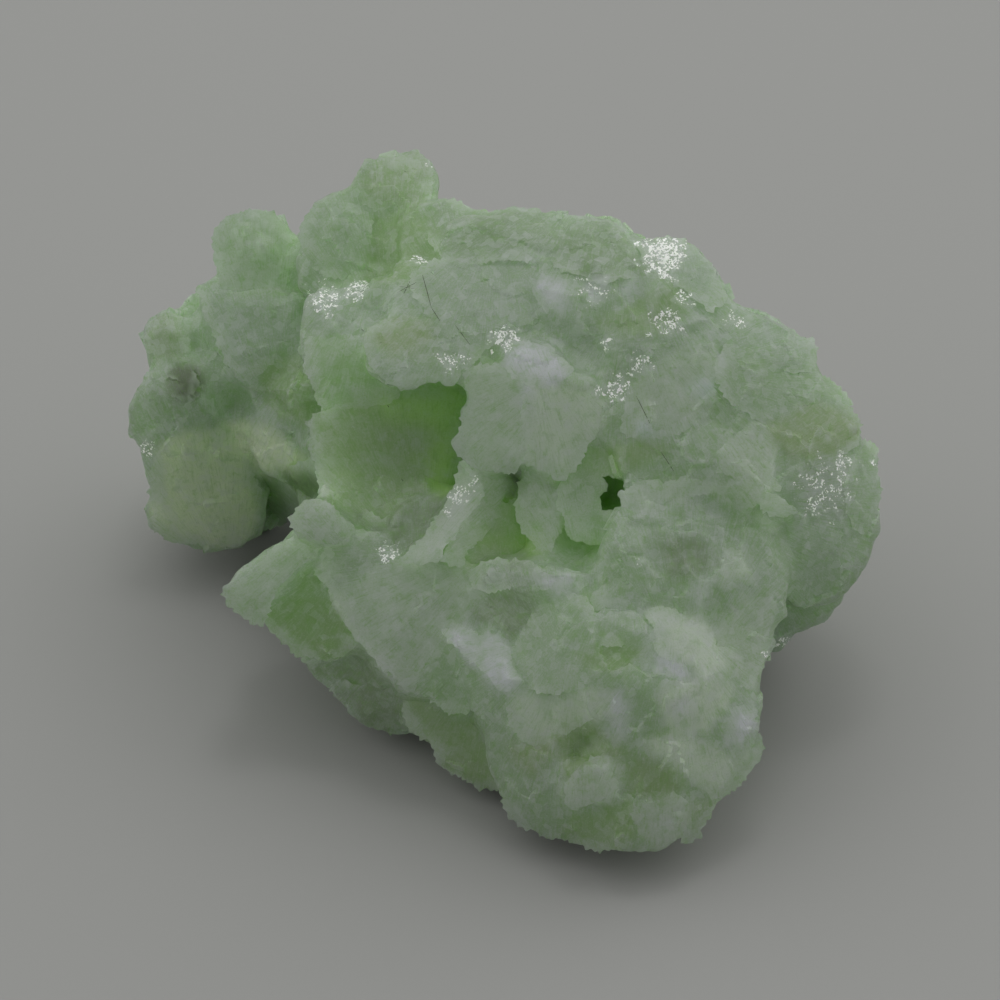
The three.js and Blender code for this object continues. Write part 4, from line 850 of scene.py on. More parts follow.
        (-5.8, 27.4), (-5.4, 26.4), (-5.4, 24.8), (-5.8, 23.3), (-6.9, 23.4), (-8.4, 23.7), (-9.9, 23.3),
        (-11, 24)]),
    "shoulder": ("green", 0.05, None, [(-15.7, 21.9), (-14.6, 23.5), (-13.2, 24.2), (-11.8, 24.6),
        (-11, 23.8), (-10.2, 22.8), (-10.4, 20.8), (-11, 19), (-12.4, 18), (-14, 18), (-15.2, 19),
        (-15.8, 20.4)]),
    "shoulderShade": ("leafpale", None, None, [(-10.2, 22.8), (-8.4, 23.4), (-6.9, 23.3), (-5.8, 23),
        (-5.6, 20.8), (-4.5, 19.4), (-6.7, 18.6), (-7.2, 17.3), (-8.3, 17.4), (-9.6, 17), (-10.9, 17.4),
        (-10.9, 19), (-10.3, 20.8)]),
    "nub": ("milkpale", 0.05, None, [(-22.5, 17), (-22.9, 19.6), (-22.6, 21.7), (-21.1, 22.8),
        (-19.6, 23.2), (-18.2, 22.9), (-17.2, 22), (-16.6, 20.4), (-16.7, 18.4), (-17.2, 16.9), (-19, 16.2),
        (-20.7, 16.2)]),
    "lobeUpper": ("pale", 0.07, None, [(-24.1, 16.8), (-23.1, 17.5), (-20.8, 16), (-18.4, 15.9),
        (-16, 16.1), (-15.6, 14.4), (-16, 12.4), (-17.6, 11.8), (-19, 10.6), (-20, 9.3), (-20.8, 9.6),
        (-21.8, 11), (-22.6, 12.7), (-23.4, 14.4)]),
    "knob": ("milkgreen", 0.05, None, [(-28.5, 12.9), (-28, 14.2), (-26.8, 15), (-25.8, 14.6),
        (-25.1, 13.2), (-24.8, 12), (-25.8, 11.2), (-27.2, 11.2), (-28.1, 11.9)]),
    "pit": ("stain", None, None, [(-26.7, 9.8), (-26.1, 10.7), (-24.8, 11), (-23.8, 10.2), (-23.7, 9),
        (-24.5, 8), (-25.6, 7.8), (-26.6, 8.6)]),
    "lobeSlope": ("leafpale", None, None, [(-19.4, 9.8), (-18.4, 11), (-17.3, 11.7), (-16, 11.6),
        (-15.2, 10.2), (-14.6, 8.4), (-14.2, 6.9), (-15.6, 6), (-17.2, 6.4), (-18.6, 7.6)]),
    "lobeLow": ("pinkish", 0.06, None, [(-28, -0.2), (-27.7, 3), (-26.8, 4.7), (-24.8, 5.5), (-22.8, 5.6),
        (-21.1, 4.7), (-20.2, 3.2), (-19.6, 0.8), (-19.4, -1.6), (-20, -3.2), (-21.6, -3.8), (-24, -3.6),
        (-26.4, -3.6), (-27.6, -2.4)]),
    "lobeMiddle": ("pinkish", None, None, [(-22.1, 6.1), (-20.4, 6.4), (-18.8, 6), (-17.2, 4.8),
        (-16, 3.6), (-15, 2.8), (-16, 1.9), (-17.6, 2.4), (-19.5, 2), (-20.6, 3.5)]),
    # Painted shade: a plate in the hollow by the left lobe, in a dark tone
    "lobeHollowShade": ("deep", 1.0, None, [(-19.4, 1.9), (-16.8, 2.4), (-15, 3), (-14.2, 1.6), (-13.9, -0.2),
        (-15.2, 0), (-16.2, -0.8), (-17.6, -2.2), (-19, -2)]),
}


# A gently curved surface that lies on what is seen inside an outline, or a flat one with a lean of its own
def restingOn(tree, outline, lean=None):
    middle = outlineMiddle(outline)
    rim = np.array(outline, float)
    flat = np.vstack([middle[None]] + [middle + (rim - middle) * share for share in (0.25, 0.5, 0.75, 0.95)])
    seen = depthSeen(tree, flat)
    use = ~np.isnan(seen)
    size = np.linalg.norm(rim - middle, axis=1).mean()

    def terms(points):
        x, y = ((points - middle) / size).T
        return np.column_stack([np.ones(len(x)), x, y, x * x, x * y, y * y])

    curb = np.diag((0, 0.1, 0.1, 1.2, 1.2, 1.2))  # keeps the curve slight
    for _ in range(4):  # each round leaves out what lies off the surface
        table = np.vstack([terms(flat[use]), curb])
        fit = np.linalg.lstsq(table, np.concatenate([seen[use], np.zeros(6)]), rcond=None)[0]
        off = np.abs(seen - terms(flat) @ fit)
        use = ~np.isnan(seen) & (np.nan_to_num(off, nan=99) < max(0.5, np.nanpercentile(off, 75)))
    if lean is not None:
        fit[1:3] = np.array(lean[:2]) * size
        fit[3:] = 0
        if len(lean) == 3:
            fit[0] = lean[2]
    return middle, lambda points: terms(points) @ fit


# A plate with a toothed rim that stands on the skin, and a keel behind it that roots it there
def makePlate(name, outline, middle, surface, lift, seed):
    shape = plateShape
    edge, at = alongRim(np.array(outline, float), shape["grid"])
    along = np.roll(edge, -2, axis=0) - np.roll(edge, 2, axis=0)
    outward = np.column_stack([along[:, 1], -along[:, 0]]) / np.linalg.norm(along, axis=1)[:, None]
    turned = edge[:, 0] @ np.roll(edge[:, 1], -1) - edge[:, 1] @ np.roll(edge[:, 0], -1)
    stray, strayLength = shape["toothStray"]
    at = at + stray * wander(at / strayLength, seed + 10)
    teeth = rowsOf(at, shape["teeth"], seed)
    edge = edge + outward * (np.sign(turned) * (shape["spare"] + shape["tooth"] * teeth))[:, None]
    low, high = edge.min(axis=0), edge.max(axis=0)
    across, upward = np.meshgrid(*(np.arange(low[k], high[k], shape["cell"]) for k in (0, 1)))
    fill = np.column_stack([across.ravel(), upward.ravel()])
    fill = fill[inside(edge.tolist(), fill[:, 0], fill[:, 1])]
    toEdge = np.sqrt(((fill[:, None] - edge[None]) ** 2).sum(axis=2)).min(axis=1)
    fill = fill[toEdge > shape["cell"] * 0.6]
    flat, _, faces, _, _, _ = delaunay_2d_cdt([Vector(p) for p in np.vstack([edge, fill])], [],
                                              [list(range(len(edge)))], 1, 1e-4)
    flat = np.array([tuple(p) for p in flat])
    toEdge = np.sqrt(((flat[:, None] - edge[None]) ** 2).sum(axis=2)).min(axis=1)
    depths = (surface(flat) - lift + shape["bevel"] * smoothStep(shape["bevelWidth"], 0, toEdge)
              + (flat - middle).sum(axis=1) * shape["tilt"])
    front = fromSketch(flat[:, 0], flat[:, 1], depths)
    front += np.outer(shape["swell"] * waves(front, shape["swellLength"], seed + 20), towardsEye)
    keel = shape["thick"] + shape["root"] * smoothStep(0, shape["rootSlope"], toEdge)
    points = np.vstack([front, fromSketch(flat[:, 0], flat[:, 1], depths + keel)])
    count = len(flat)
    borders = {}
    for face in faces:
        for one, other in zip(face, face[1:] + face[:1]):
            if (other, one) in borders:
                del borders[other, one]
            else:
                borders[one, other] = True
    faces = ([tuple(f) for f in faces] + [tuple(k + count for k in reversed(f)) for f in faces]
             + [(other, one, one + count, other + count) for one, other in borders])
    if facesIn(points, faces):
        faces = [tuple(reversed(f)) for f in faces]
    return meshFrom(name, points, faces)


chipShape = {
    "count": 900,
    "seed": 7,
    "inFront": 0.0,  # share of them that stay where the plates are
    "frontal": 0.25,  # skin that looks at the eye more than this is in front
    "size": (0.5, 1.8),
    "mostlySmall": 1.8,  # above 1 there are more small ones than big ones
    "thickness": (0.25, 0.6),
    "tilt": 0.22,
    "sides": (4, 8),  # fewest, and one more than most
    "uneven": 0.35,  # how far their corners stray along the rim
    "sunk": 0.2,  # share of the thickness
    "top": 0.9,  # size of the upper face against the lower one
}


# Small tabular crystals, sunk in the skin and turned at all angles
def scatterChips(mesh):
    shape = chipShape
    random = np.random.default_rng(shape["seed"])
    mesh.calc_loop_triangles()
    corners = pointsOf(mesh)[np.array([t.vertices[:] for t in mesh.loop_triangles])]
    normals = np.cross(corners[:, 1] - corners[:, 0], corners[:, 2] - corners[:, 0])
    area = np.linalg.norm(normals, axis=1)
    normals /= np.maximum(area, 1e-9)[:, None]
    picks = random.choice(len(area), shape["count"], p=area / area.sum())
    feet = corners[picks].mean(axis=1)
    for i, (foot, normal) in enumerate(zip(feet, normals[picks])):
        smallest, biggest = shape["size"]
        size = smallest + (biggest - smallest) * random.random() ** shape["mostlySmall"]
        thick = random.uniform(*shape["thickness"]) * (0.5 + size / 2)
        if normal @ towardsEye > shape["frontal"] and random.random() > shape["inFront"]:
            continue
        up = normal + random.normal(0, shape["tilt"], 3)
        up /= np.linalg.norm(up)
        across = np.cross(up, random.normal(0, 1, 3))
        across /= np.linalg.norm(across)
        along = np.cross(up, across)
        sides = random.integers(*shape["sides"])
        stray = random.uniform(0, 2 * math.pi, sides) * shape["uneven"]
        turn = np.sort(stray + np.linspace(0, 2 * math.pi, sides, endpoint=False))
        radius = size * random.uniform(0.7, 1.1, sides)
        width = np.sin(turn) * radius * random.uniform(0.5, 0.9)
        ring = np.outer(np.cos(turn) * radius, along) + np.outer(width, across)
        centre = foot - normal * thick * shape["sunk"]
        top = centre + ring * shape["top"] + up * thick / 2
        bottom = centre + ring - up * thick / 2
        count = len(ring)
        faces = [tuple(range(count)), tuple(reversed(range(count, 2 * count)))]
        faces += [(k, count + k, count + (k + 1) % count, (k + 1) % count) for k in range(count)]
        points = np.vstack([top, bottom])
        if facesIn(points, faces):
            faces = [tuple(reversed(f)) for f in faces]
        grown.objects.link(meshFrom(f"chip{i}", points, faces))


def fused(mesh, others, size, seam):  # all of it grown together, with gaps up to twice the seam filled
    swollen = pushed(evenMesh(gathered(mesh, others), size), seam)
    return evenMesh(pushed(evenMesh(swollen, size), -seam), size)


print("joining leaves")
leafy = fused(massMesh, grown, clusterLook["fineMesh"], clusterLook["seam"])
seenTree = treeOf(leafy)

print("plates")
resting = {}  # each plate's middle, and the surface that it lies on
for number, (name, (tone, lift, lean, outline)) in enumerate(plates.items()):
    resting[name] = restingOn(seenTree, outline, lean)
    if lift is not None:
        grown.objects.link(makePlate(name, outline, *resting[name], lift, 300 + 7 * number))
scatterChips(leafy)

print("joining")
points, normals = pointsOf(leafy), normalsOf(leafy)
height = sum(facetHeight(points, size, slope, seed) for size, slope, seed in clusterLook["facets"])
setPoints(leafy, points + normals * height[:, None])
cluster = bpy.data.objects.new("prehnite", leafy)
bpy.context.scene.collection.objects.link(cluster)
union = cluster.modifiers.new("join", "BOOLEAN")
union.operation = "UNION"
union.solver = "MANIFOLD"
union.operand_type = "COLLECTION"
union.collection = grown
joined = applied(cluster)
cluster.modifiers.clear()
cluster.data = joined
print("points", len(leafy.vertices), "to", len(joined.vertices))
for plate in list(grown.objects):
    bpy.data.objects.remove(plate)


# Keeps the biggest body of a mesh, and drops crumbs that touch nothing
def keepBiggest(mesh):
    edges = np.zeros(len(mesh.edges) * 2, np.int32)
    mesh.edges.foreach_get("vertices", edges)
    one, other = edges[::2], edges[1::2]
    leader = np.arange(len(mesh.vertices))
    while (leader[one] != leader[other]).any():
        low = np.minimum(leader[one], leader[other])
        np.minimum.at(leader, leader[one], low)
        np.minimum.at(leader, leader[other], low)
        leader = leader[leader]
    members = np.bincount(leader)
    crumbs = np.flatnonzero(leader != members.argmax())
    work = bmesh.new()
    work.from_mesh(mesh)
    work.verts.ensure_lookup_table()
    bmesh.ops.delete(work, geom=[work.verts[i] for i in crumbs], context="VERTS")
    bmesh.ops.triangulate(work, faces=work.faces[:])
    work.to_mesh(mesh)
    work.free()
    return len(crumbs)


print("crumbs dropped", keepBiggest(joined))
thin = cluster.modifiers.new("thin", "DECIMATE")
thin.ratio = clusterLook["triangles"] / len(joined.polygons)
skin = applied(cluster)
cluster.modifiers.clear()
cluster.data = skin
print("triangles", len(skin.polygons))

# The skin is set into the solid's own box, with its feet on the table
low, high = (np.array(corner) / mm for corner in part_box("prehnite_cluster"))
points = pointsOf(skin)
points[:, 2] = np.maximum(points[:, 2], 0)
skinLow, skinHigh = points.min(axis=0), points.max(axis=0)
setPoints(skin, low + (points - skinLow) * (high - low) / (skinHigh - skinLow))


skinRays = {
    "ways": 48,  # directions in all
    "rays": 9,  # directions that each point looks in
    "reach": 9.0,  # how far it looks out
    "start": 0.06,  # how far off the skin
    "depth": 6.0,  # how far it looks into the crystal
    "startBehind": 0.05,
    "seed": 11,
}


# How open each point is to the outside and how thin the crystal is behind it
def measureSkin(mesh):
    rays, reach, depth = (skinRays[key] for key in ("rays", "reach", "depth"))
    points, normals = pointsOf(mesh), normalsOf(mesh)
    tree = treeOf(mesh)
    random = np.random.default_rng(skinRays["seed"])
    directions = random.normal(0, 1, (skinRays["ways"], 3))
    directions /= np.linalg.norm(directions, axis=1)[:, None]
    openness = np.zeros(len(points))
    thickness = np.zeros(len(points))
    for i, (point, normal) in enumerate(zip(points, normals)):
        start = Vector(point + normal * skinRays["start"])
        picks = (np.arange(rays) * 5 + i * 7) % skinRays["ways"]
        free = 0.0
        for way in directions[picks]:
            if way @ normal < 0:
                way = -way
            hit = tree.ray_cast(start, Vector(way), reach)[3]
            free += 1.0 if hit is None else hit / reach
        openness[i] = free / len(picks)
        behind = Vector(point - normal * skinRays["startBehind"])
        hit = tree.ray_cast(behind, Vector(-normal), depth)[3]
        thickness[i] = depth if hit is None else hit
    return openness, thickness


def neighbourMean(mesh, values, rounds):  # each point's value blurred with those of its neighbours
    edges = np.zeros(len(mesh.edges) * 2, np.int32)
    mesh.edges.foreach_get("vertices", edges)
    one, other = edges[::2], edges[1::2]
    count = np.bincount(edges, minlength=len(mesh.vertices))
    for _ in range(rounds):
        total = np.bincount(one, values[other], len(count)) + np.bincount(other, values[one], len(count))
        values = (values + total) / (1 + count)
    return values


def sharpness(mesh, rounds):  # above 0 on ridges and below 0 in grooves
    points, normals = pointsOf(mesh), normalsOf(mesh)
    mean = np.stack([neighbourMean(mesh, points[:, k], rounds) for k in range(3)], axis=-1)
    return ((points - mean) * normals).sum(axis=1)


def keepOnSkin(mesh, name, values):
    layer = mesh.attributes.new(name, "FLOAT", "POINT")
    layer.data.foreach_set("value", values.astype(np.float32))


# How little cloud is in the clear tones
clearness = {"pit": 1.0, "leaf": 0.7, "leaflight": 0.7, "leafshade": 0.8, "deep": 0.9, "deepgreen": 0.7,
             "stain": 0.9, "moss": 0.6, "smoke": 0.45, "dusk": 0.4, "olive": 0.4, "leafpale": 0.35,
             "yellow": 0.3, "green": 0.2}

# Colours of the crystal
tones = {
    # Painted shadow, for the small holes
    "pit": (0.015, 0.035, 0.005),
    "ice": (0.57, 0.62, 0.57),
    "moss": (0.21, 0.31, 0.13),
    "white": (0.57, 0.58, 0.64),
    "cloud": (0.47, 0.54, 0.54),
    "mist": (0.50, 0.58, 0.47),
    "milk": (0.40, 0.49, 0.37),
    "milkpale": (0.35, 0.44, 0.32),
    "grey": (0.29, 0.36, 0.27),
    "pale": (0.28, 0.37, 0.26),
    "milkgreen": (0.29, 0.38, 0.23),
    "green": (0.26, 0.37, 0.22),
    "grass": (0.21, 0.30, 0.17),
    "leafpale": (0.21, 0.33, 0.13),
    "leaf": (0.24, 0.41, 0.10),
    # A lighter and a darker copy of leaf: painted light for the shaded recess, and painted shade for the
    # triangular hollow
    "leaflight": (0.36, 0.58, 0.17),
    "leafshade": (0.19, 0.31, 0.11),
    "dusk": (0.28, 0.39, 0.20),
    "yellow": (0.25, 0.34, 0.16),
    "olive": (0.25, 0.40, 0.18),
    "smoke": (0.19, 0.26, 0.15),
    "deepgreen": (0.23, 0.34, 0.15),
    # Painted shade, for the hollows of the nose and the left lobe
    "deep": (0.05, 0.13, 0.01),
    "pinkish": (0.56, 0.66, 0.43),
    "stain": (0.06, 0.09, 0.03),
}


toneLook = {
    "strayRight": ((0.16, 0.9, 71), (0.1, 0.4, 72)),  # height, length and seed of how the borders stray
    "strayUp": ((0.16, 0.9, 73), (0.1, 0.4, 74)),
    "milky": ((1, 1.3, 91), (0.6, 0.6, 92)),  # where the white clouds are thick
    "drift": ((1, 9, 81), (0.5, 3.5, 82)),
    "facing": 0.12,  # skin that looks at the eye less than this keeps the drifting colour
    "reach": 1.6,  # millimetres before and behind a plate that have its tone
    "patchReach": 5.0,  # the same for colour alone
    "cover": 0.9,  # share of a tone
    "cloudCover": (0.45, 0.5),  # least share of a white one, and what the clouds add
    "clear": 0.15,  # how clear the skin is between the plates
}


def wavesOf(points, rows):  # rows of height, length and seed, added up
    return sum(height * waves(points, length, seed) for height, length, seed in rows)


# Each plate has its tone, and the rest of the skin drifts between green and pale
def toneSkin(mesh):
    look = toneLook
    points = pointsOf(mesh)
    right, up, depth = toSketch(points)
    strayRight, strayUp = wavesOf(points, look["strayRight"]), wavesOf(points, look["strayUp"])
    facing = neighbourMean(mesh, normalsOf(mesh) @ towardsEye, 3) > look["facing"]
    milky = smoothStep(-0.5, 0.3, wavesOf(points, look["milky"]))
    drift = smoothStep(-0.6, 0.7, wavesOf(points, look["drift"]))[:, None]
    colour = np.array(tones["green"]) * (1 - drift) + np.array(tones["pale"]) * drift
    clear = np.full(len(points), look["clear"])
    flat = np.column_stack([right, up])
    for name, (tone, lift, lean, outline) in plates.items():
        middle, surface = resting[name]
        reach = look["reach"] if lift is not None else look["patchReach"]
        on = (np.abs(depth - surface(flat)) < reach) & facing
        on[on] = inside(outline, right[on] + strayRight[on], up[on] + strayUp[on])
        share = np.full(on.sum(), look["cover"])[:, None]
        if tone in ("white", "cloud"):
            least, more = look["cloudCover"]
            share = (least + more * milky[on])[:, None]
        colour[on] = colour[on] * (1 - share) + np.array(tones[tone]) * share
        clear[on] = clearness.get(tone, 0)
    colour = np.stack([neighbourMean(mesh, colour[:, k], 2) for k in range(3)], axis=-1)
    return colour, neighbourMean(mesh, clear, 2)


lineLook = {
    "radius": 12.0,  # angles around a root count as millimetres on a circle of this size
    "stretch": 0.1,  # how much less the noise changes along a line than across it
}


# Places measured along and across the fine lines that run out from the root of each leaf
def linesOn(mesh):
    stretch = lineLook["stretch"]
    right, up, depth = toSketch(pointsOf(mesh))
    flat = np.column_stack([right, up])
    lines = np.column_stack([right, up * stretch, depth])
    for leaf in leaves.values():
        on = inside(leaf["outline"], right, up)
        out = flat[on] - growthOf(leaf, outlineMiddle(leaf["outline"]))
        reach = np.linalg.norm(out, axis=1)
        around = np.arctan2(out[:, 1], out[:, 0]) * lineLook["radius"]
        lines[on] = np.column_stack([around, reach * stretch, depth[on] * stretch])
    return lines


# Where small faces flash in the coat and glints are painted into the colour: right, up, reach and strength
glints = [(13.1, 19.8, 1.7, 1.3), (-11.4, 16.8, 0.8, 0.9), (-13.9, 16.2, 1.2, 0.5), (-6.4, 19.2, 0.4, 0.8),
          (-5.8, 27.0, 0.4, 0.8), (0.4, 13.1, 1.0, 1.0), (-3.2, 11.3, 0.8, 0.8), (-3.6, 0.2, 0.6, 0.9),
          (-4.1, -1.0, 0.5, 0.8), (-2.2, 1.0, 0.5, 0.8), (-9.1, -4.4, 0.8, 0.9), (-6.6, -5.6, 0.3, 0.8),
          (13.3, 14.2, 1.1, 0.7), (14.6, 16.2, 0.6, 0.6), (18.8, 14.2, 0.6, 0.6), (8.4, 12.5, 0.4, 0.7),
          (11.2, 10.8, 0.8, 0.6), (9.2, 8.9, 1.2, 0.6), (26.0, 1.0, 2.2, 0.3), (27.4, 3.0, 0.6, 0.8),
          (29.8, 2.4, 0.4, 0.8), (22.6, -11.2, 0.4, 0.8), (21.2, -12.2, 0.3, 0.6), (11.2, -5.0, 0.3, 0.7),
          (-28.2, 4.2, 0.6, 0.5), (7.4, 16.4, 1.2, 0.3)]
glintStray = ((0.5, 1.1, 95), (0.25, 0.5, 96))


# How strongly glints are painted at each point, only on skin that faces the camera
def glintsOn(mesh):
    points = pointsOf(mesh)
    right, up, _ = toSketch(points)
    frontal = smoothStep(0.0, 0.3, neighbourMean(mesh, normalsOf(mesh) @ towardsEye, 3))
    shine = np.zeros(len(points))
    stray = wavesOf(points, glintStray)
    for glintRight, glintUp, reach, strength in glints:
        away = np.hypot(right - glintRight, up - glintUp) / reach + stray
        shine = np.maximum(shine, strength * smoothStep(1.15, 0.7, away))
    return shine * frontal


print("measuring")
openness, thickness = measureSkin(skin)
keepOnSkin(skin, "Openness", neighbourMean(skin, openness, 2))
keepOnSkin(skin, "Thickness", neighbourMean(skin, thickness, 1))
keepOnSkin(skin, "Ridge", smoothStep(-0.05, 0.12, sharpness(skin, 2)))
keepOnSkin(skin, "Glint", glintsOn(skin))
tone, clear = toneSkin(skin)
keepOnSkin(skin, "Clear", clear)
layer = skin.attributes.new("Lines", "FLOAT_VECTOR", "POINT")
layer.data.foreach_set("vector", (linesOn(skin) * mm).astype(np.float32).ravel())
layer = skin.attributes.new("Tone", "FLOAT_COLOR", "POINT")
layer.data.foreach_set("color", np.column_stack([tone, np.ones(len(tone))]).astype(np.float32).ravel())


def nodeIn(tree, kind, **values):
    made = tree.nodes.new(kind)
    for name, value in values.items():
        setattr(made, name, value)
    return made


def mathNode(tree, operation, first, second=None, third=None):
    made = nodeIn(tree, "ShaderNodeMath", operation=operation)
    for socket, value in zip(made.inputs, (first, second, third)):
        if hasattr(value, "is_output"):
            tree.links.new(value, socket)
        elif value is not None:
            socket.default_value = value
    return made.outputs[0]


def product(tree, first, second):
    return mathNode(tree, "MULTIPLY", first, second)


def mixColour(tree, share, first, second):
    made = nodeIn(tree, "ShaderNodeMix", data_type="RGBA", blend_type="MIX")
    for socket, value in ((made.inputs[0], share), (made.inputs[6], first), (made.inputs[7], second)):
        if hasattr(value, "is_output"):
            tree.links.new(value, socket)
        elif isinstance(value, tuple):
            socket.default_value = (*value, 1)
        else:
            socket.default_value = value
    return made.outputs[2]


def ranged(tree, value, low, high, toLow=0.0, toHigh=1.0):
    made = nodeIn(tree, "ShaderNodeMapRange", interpolation_type="SMOOTHSTEP")
    tree.links.new(value, made.inputs["Value"])
    for name, number in (("From Min", low), ("From Max", high), ("To Min", toLow), ("To Max", toHigh)):
        made.inputs[name].default_value = number
    return made.outputs[0]


def noiseNode(tree, place, size, detail=3.0, roughness=0.55, distortion=0.0):
    made = nodeIn(tree, "ShaderNodeTexNoise")
    tree.links.new(place, made.inputs["Vector"])
    made.inputs["Scale"].default_value = 1 / (size * mm)
    made.inputs["Detail"].default_value = detail
    made.inputs["Roughness"].default_value = roughness
    made.inputs["Distortion"].default_value = distortion
    return made.outputs["Fac"]


def cellsNode(tree, place, size):  # cells with a colour of their own
    made = nodeIn(tree, "ShaderNodeTexVoronoi", feature="F1")
    tree.links.new(place, made.inputs["Vector"])
    made.inputs["Scale"].default_value = 1 / (size * mm)
    return made.outputs


def channel(tree, colour, which):
    made = nodeIn(tree, "ShaderNodeSeparateColor")
    tree.links.new(colour, made.inputs[0])
    return made.outputs[which]


def onSkin(tree, name, output="Fac"):  # what the script measured on the mesh
    return nodeIn(tree, "ShaderNodeAttribute", attribute_name=name).outputs[output]


prehniteLook = {
    "pale": (0.40, 0.48, 0.38),
    # deep green: the painted shade of the hollows and the random shades turn towards it
    "deep": (0.15, 0.34, 0.04),
    "cloud": (0.50, 0.54, 0.53),
    # the colour of the glint flecks painted into the base colour
    "flash": (0.97, 0.98, 0.97),
    "scatter": (0.7, 1.0, 0.55),  # how far each colour of light travels, times reach
    "scattered": 0.9,  # share of the light
    "reach": 11.0,  # millimetres
    "ior": 1.63,
    "roughness": 0.42,
    "roughnessSpread": 0.4,
    "coatRoughness": 0.05,
    "coat": 0.2,
    "glintCoat": 0.95,
    # also the size of the painted glint flecks
    "facets": 0.13,  # millimetres across the faces that flash
    "shards": 0.6,  # millimetres across the paler grains
    "shardShare": 0.3,
    "thinGlowShare": 0.2,  # how pale the crystal gets where it is thin
    "edgeLightShare": 0.45,
    "hollowShadeShare": 0.48,  # how deep its colour gets in the hollows
    "noise": {  # millimetres across, detail, roughness and distortion
        "cloudy": (2.4, 6, 0.62, 0.6),
        "mottle": (0.8, 5, 0.65, 0.3),
        "grain": (0.13, 3, 0.7),
        "streak": (0.14, 3, 0.65),  # along the lines
    },
    "veils": (  # noise from where to where, and how much of the cloud's colour it brings
        ("cloudy", 0.48, 0.74, 0.34),
        ("mottle", 0.5, 0.72, 0.36),
        ("streak", 0.5, 0.75, 0.26),
        ("grain", 0.5, 0.75, 0.35),
    ),
    "shades": (("mottle", 0.5, 0.3, 0.32), ("streak", 0.5, 0.28, 0.35), ("grain", 0.48, 0.3, 0.3)),
    "coarseBump": (1.3, 0.2),  # size of the tilted faces in the coat, and how much they show
    "fineBump": 0.4,  # the same for the faces that flash
}


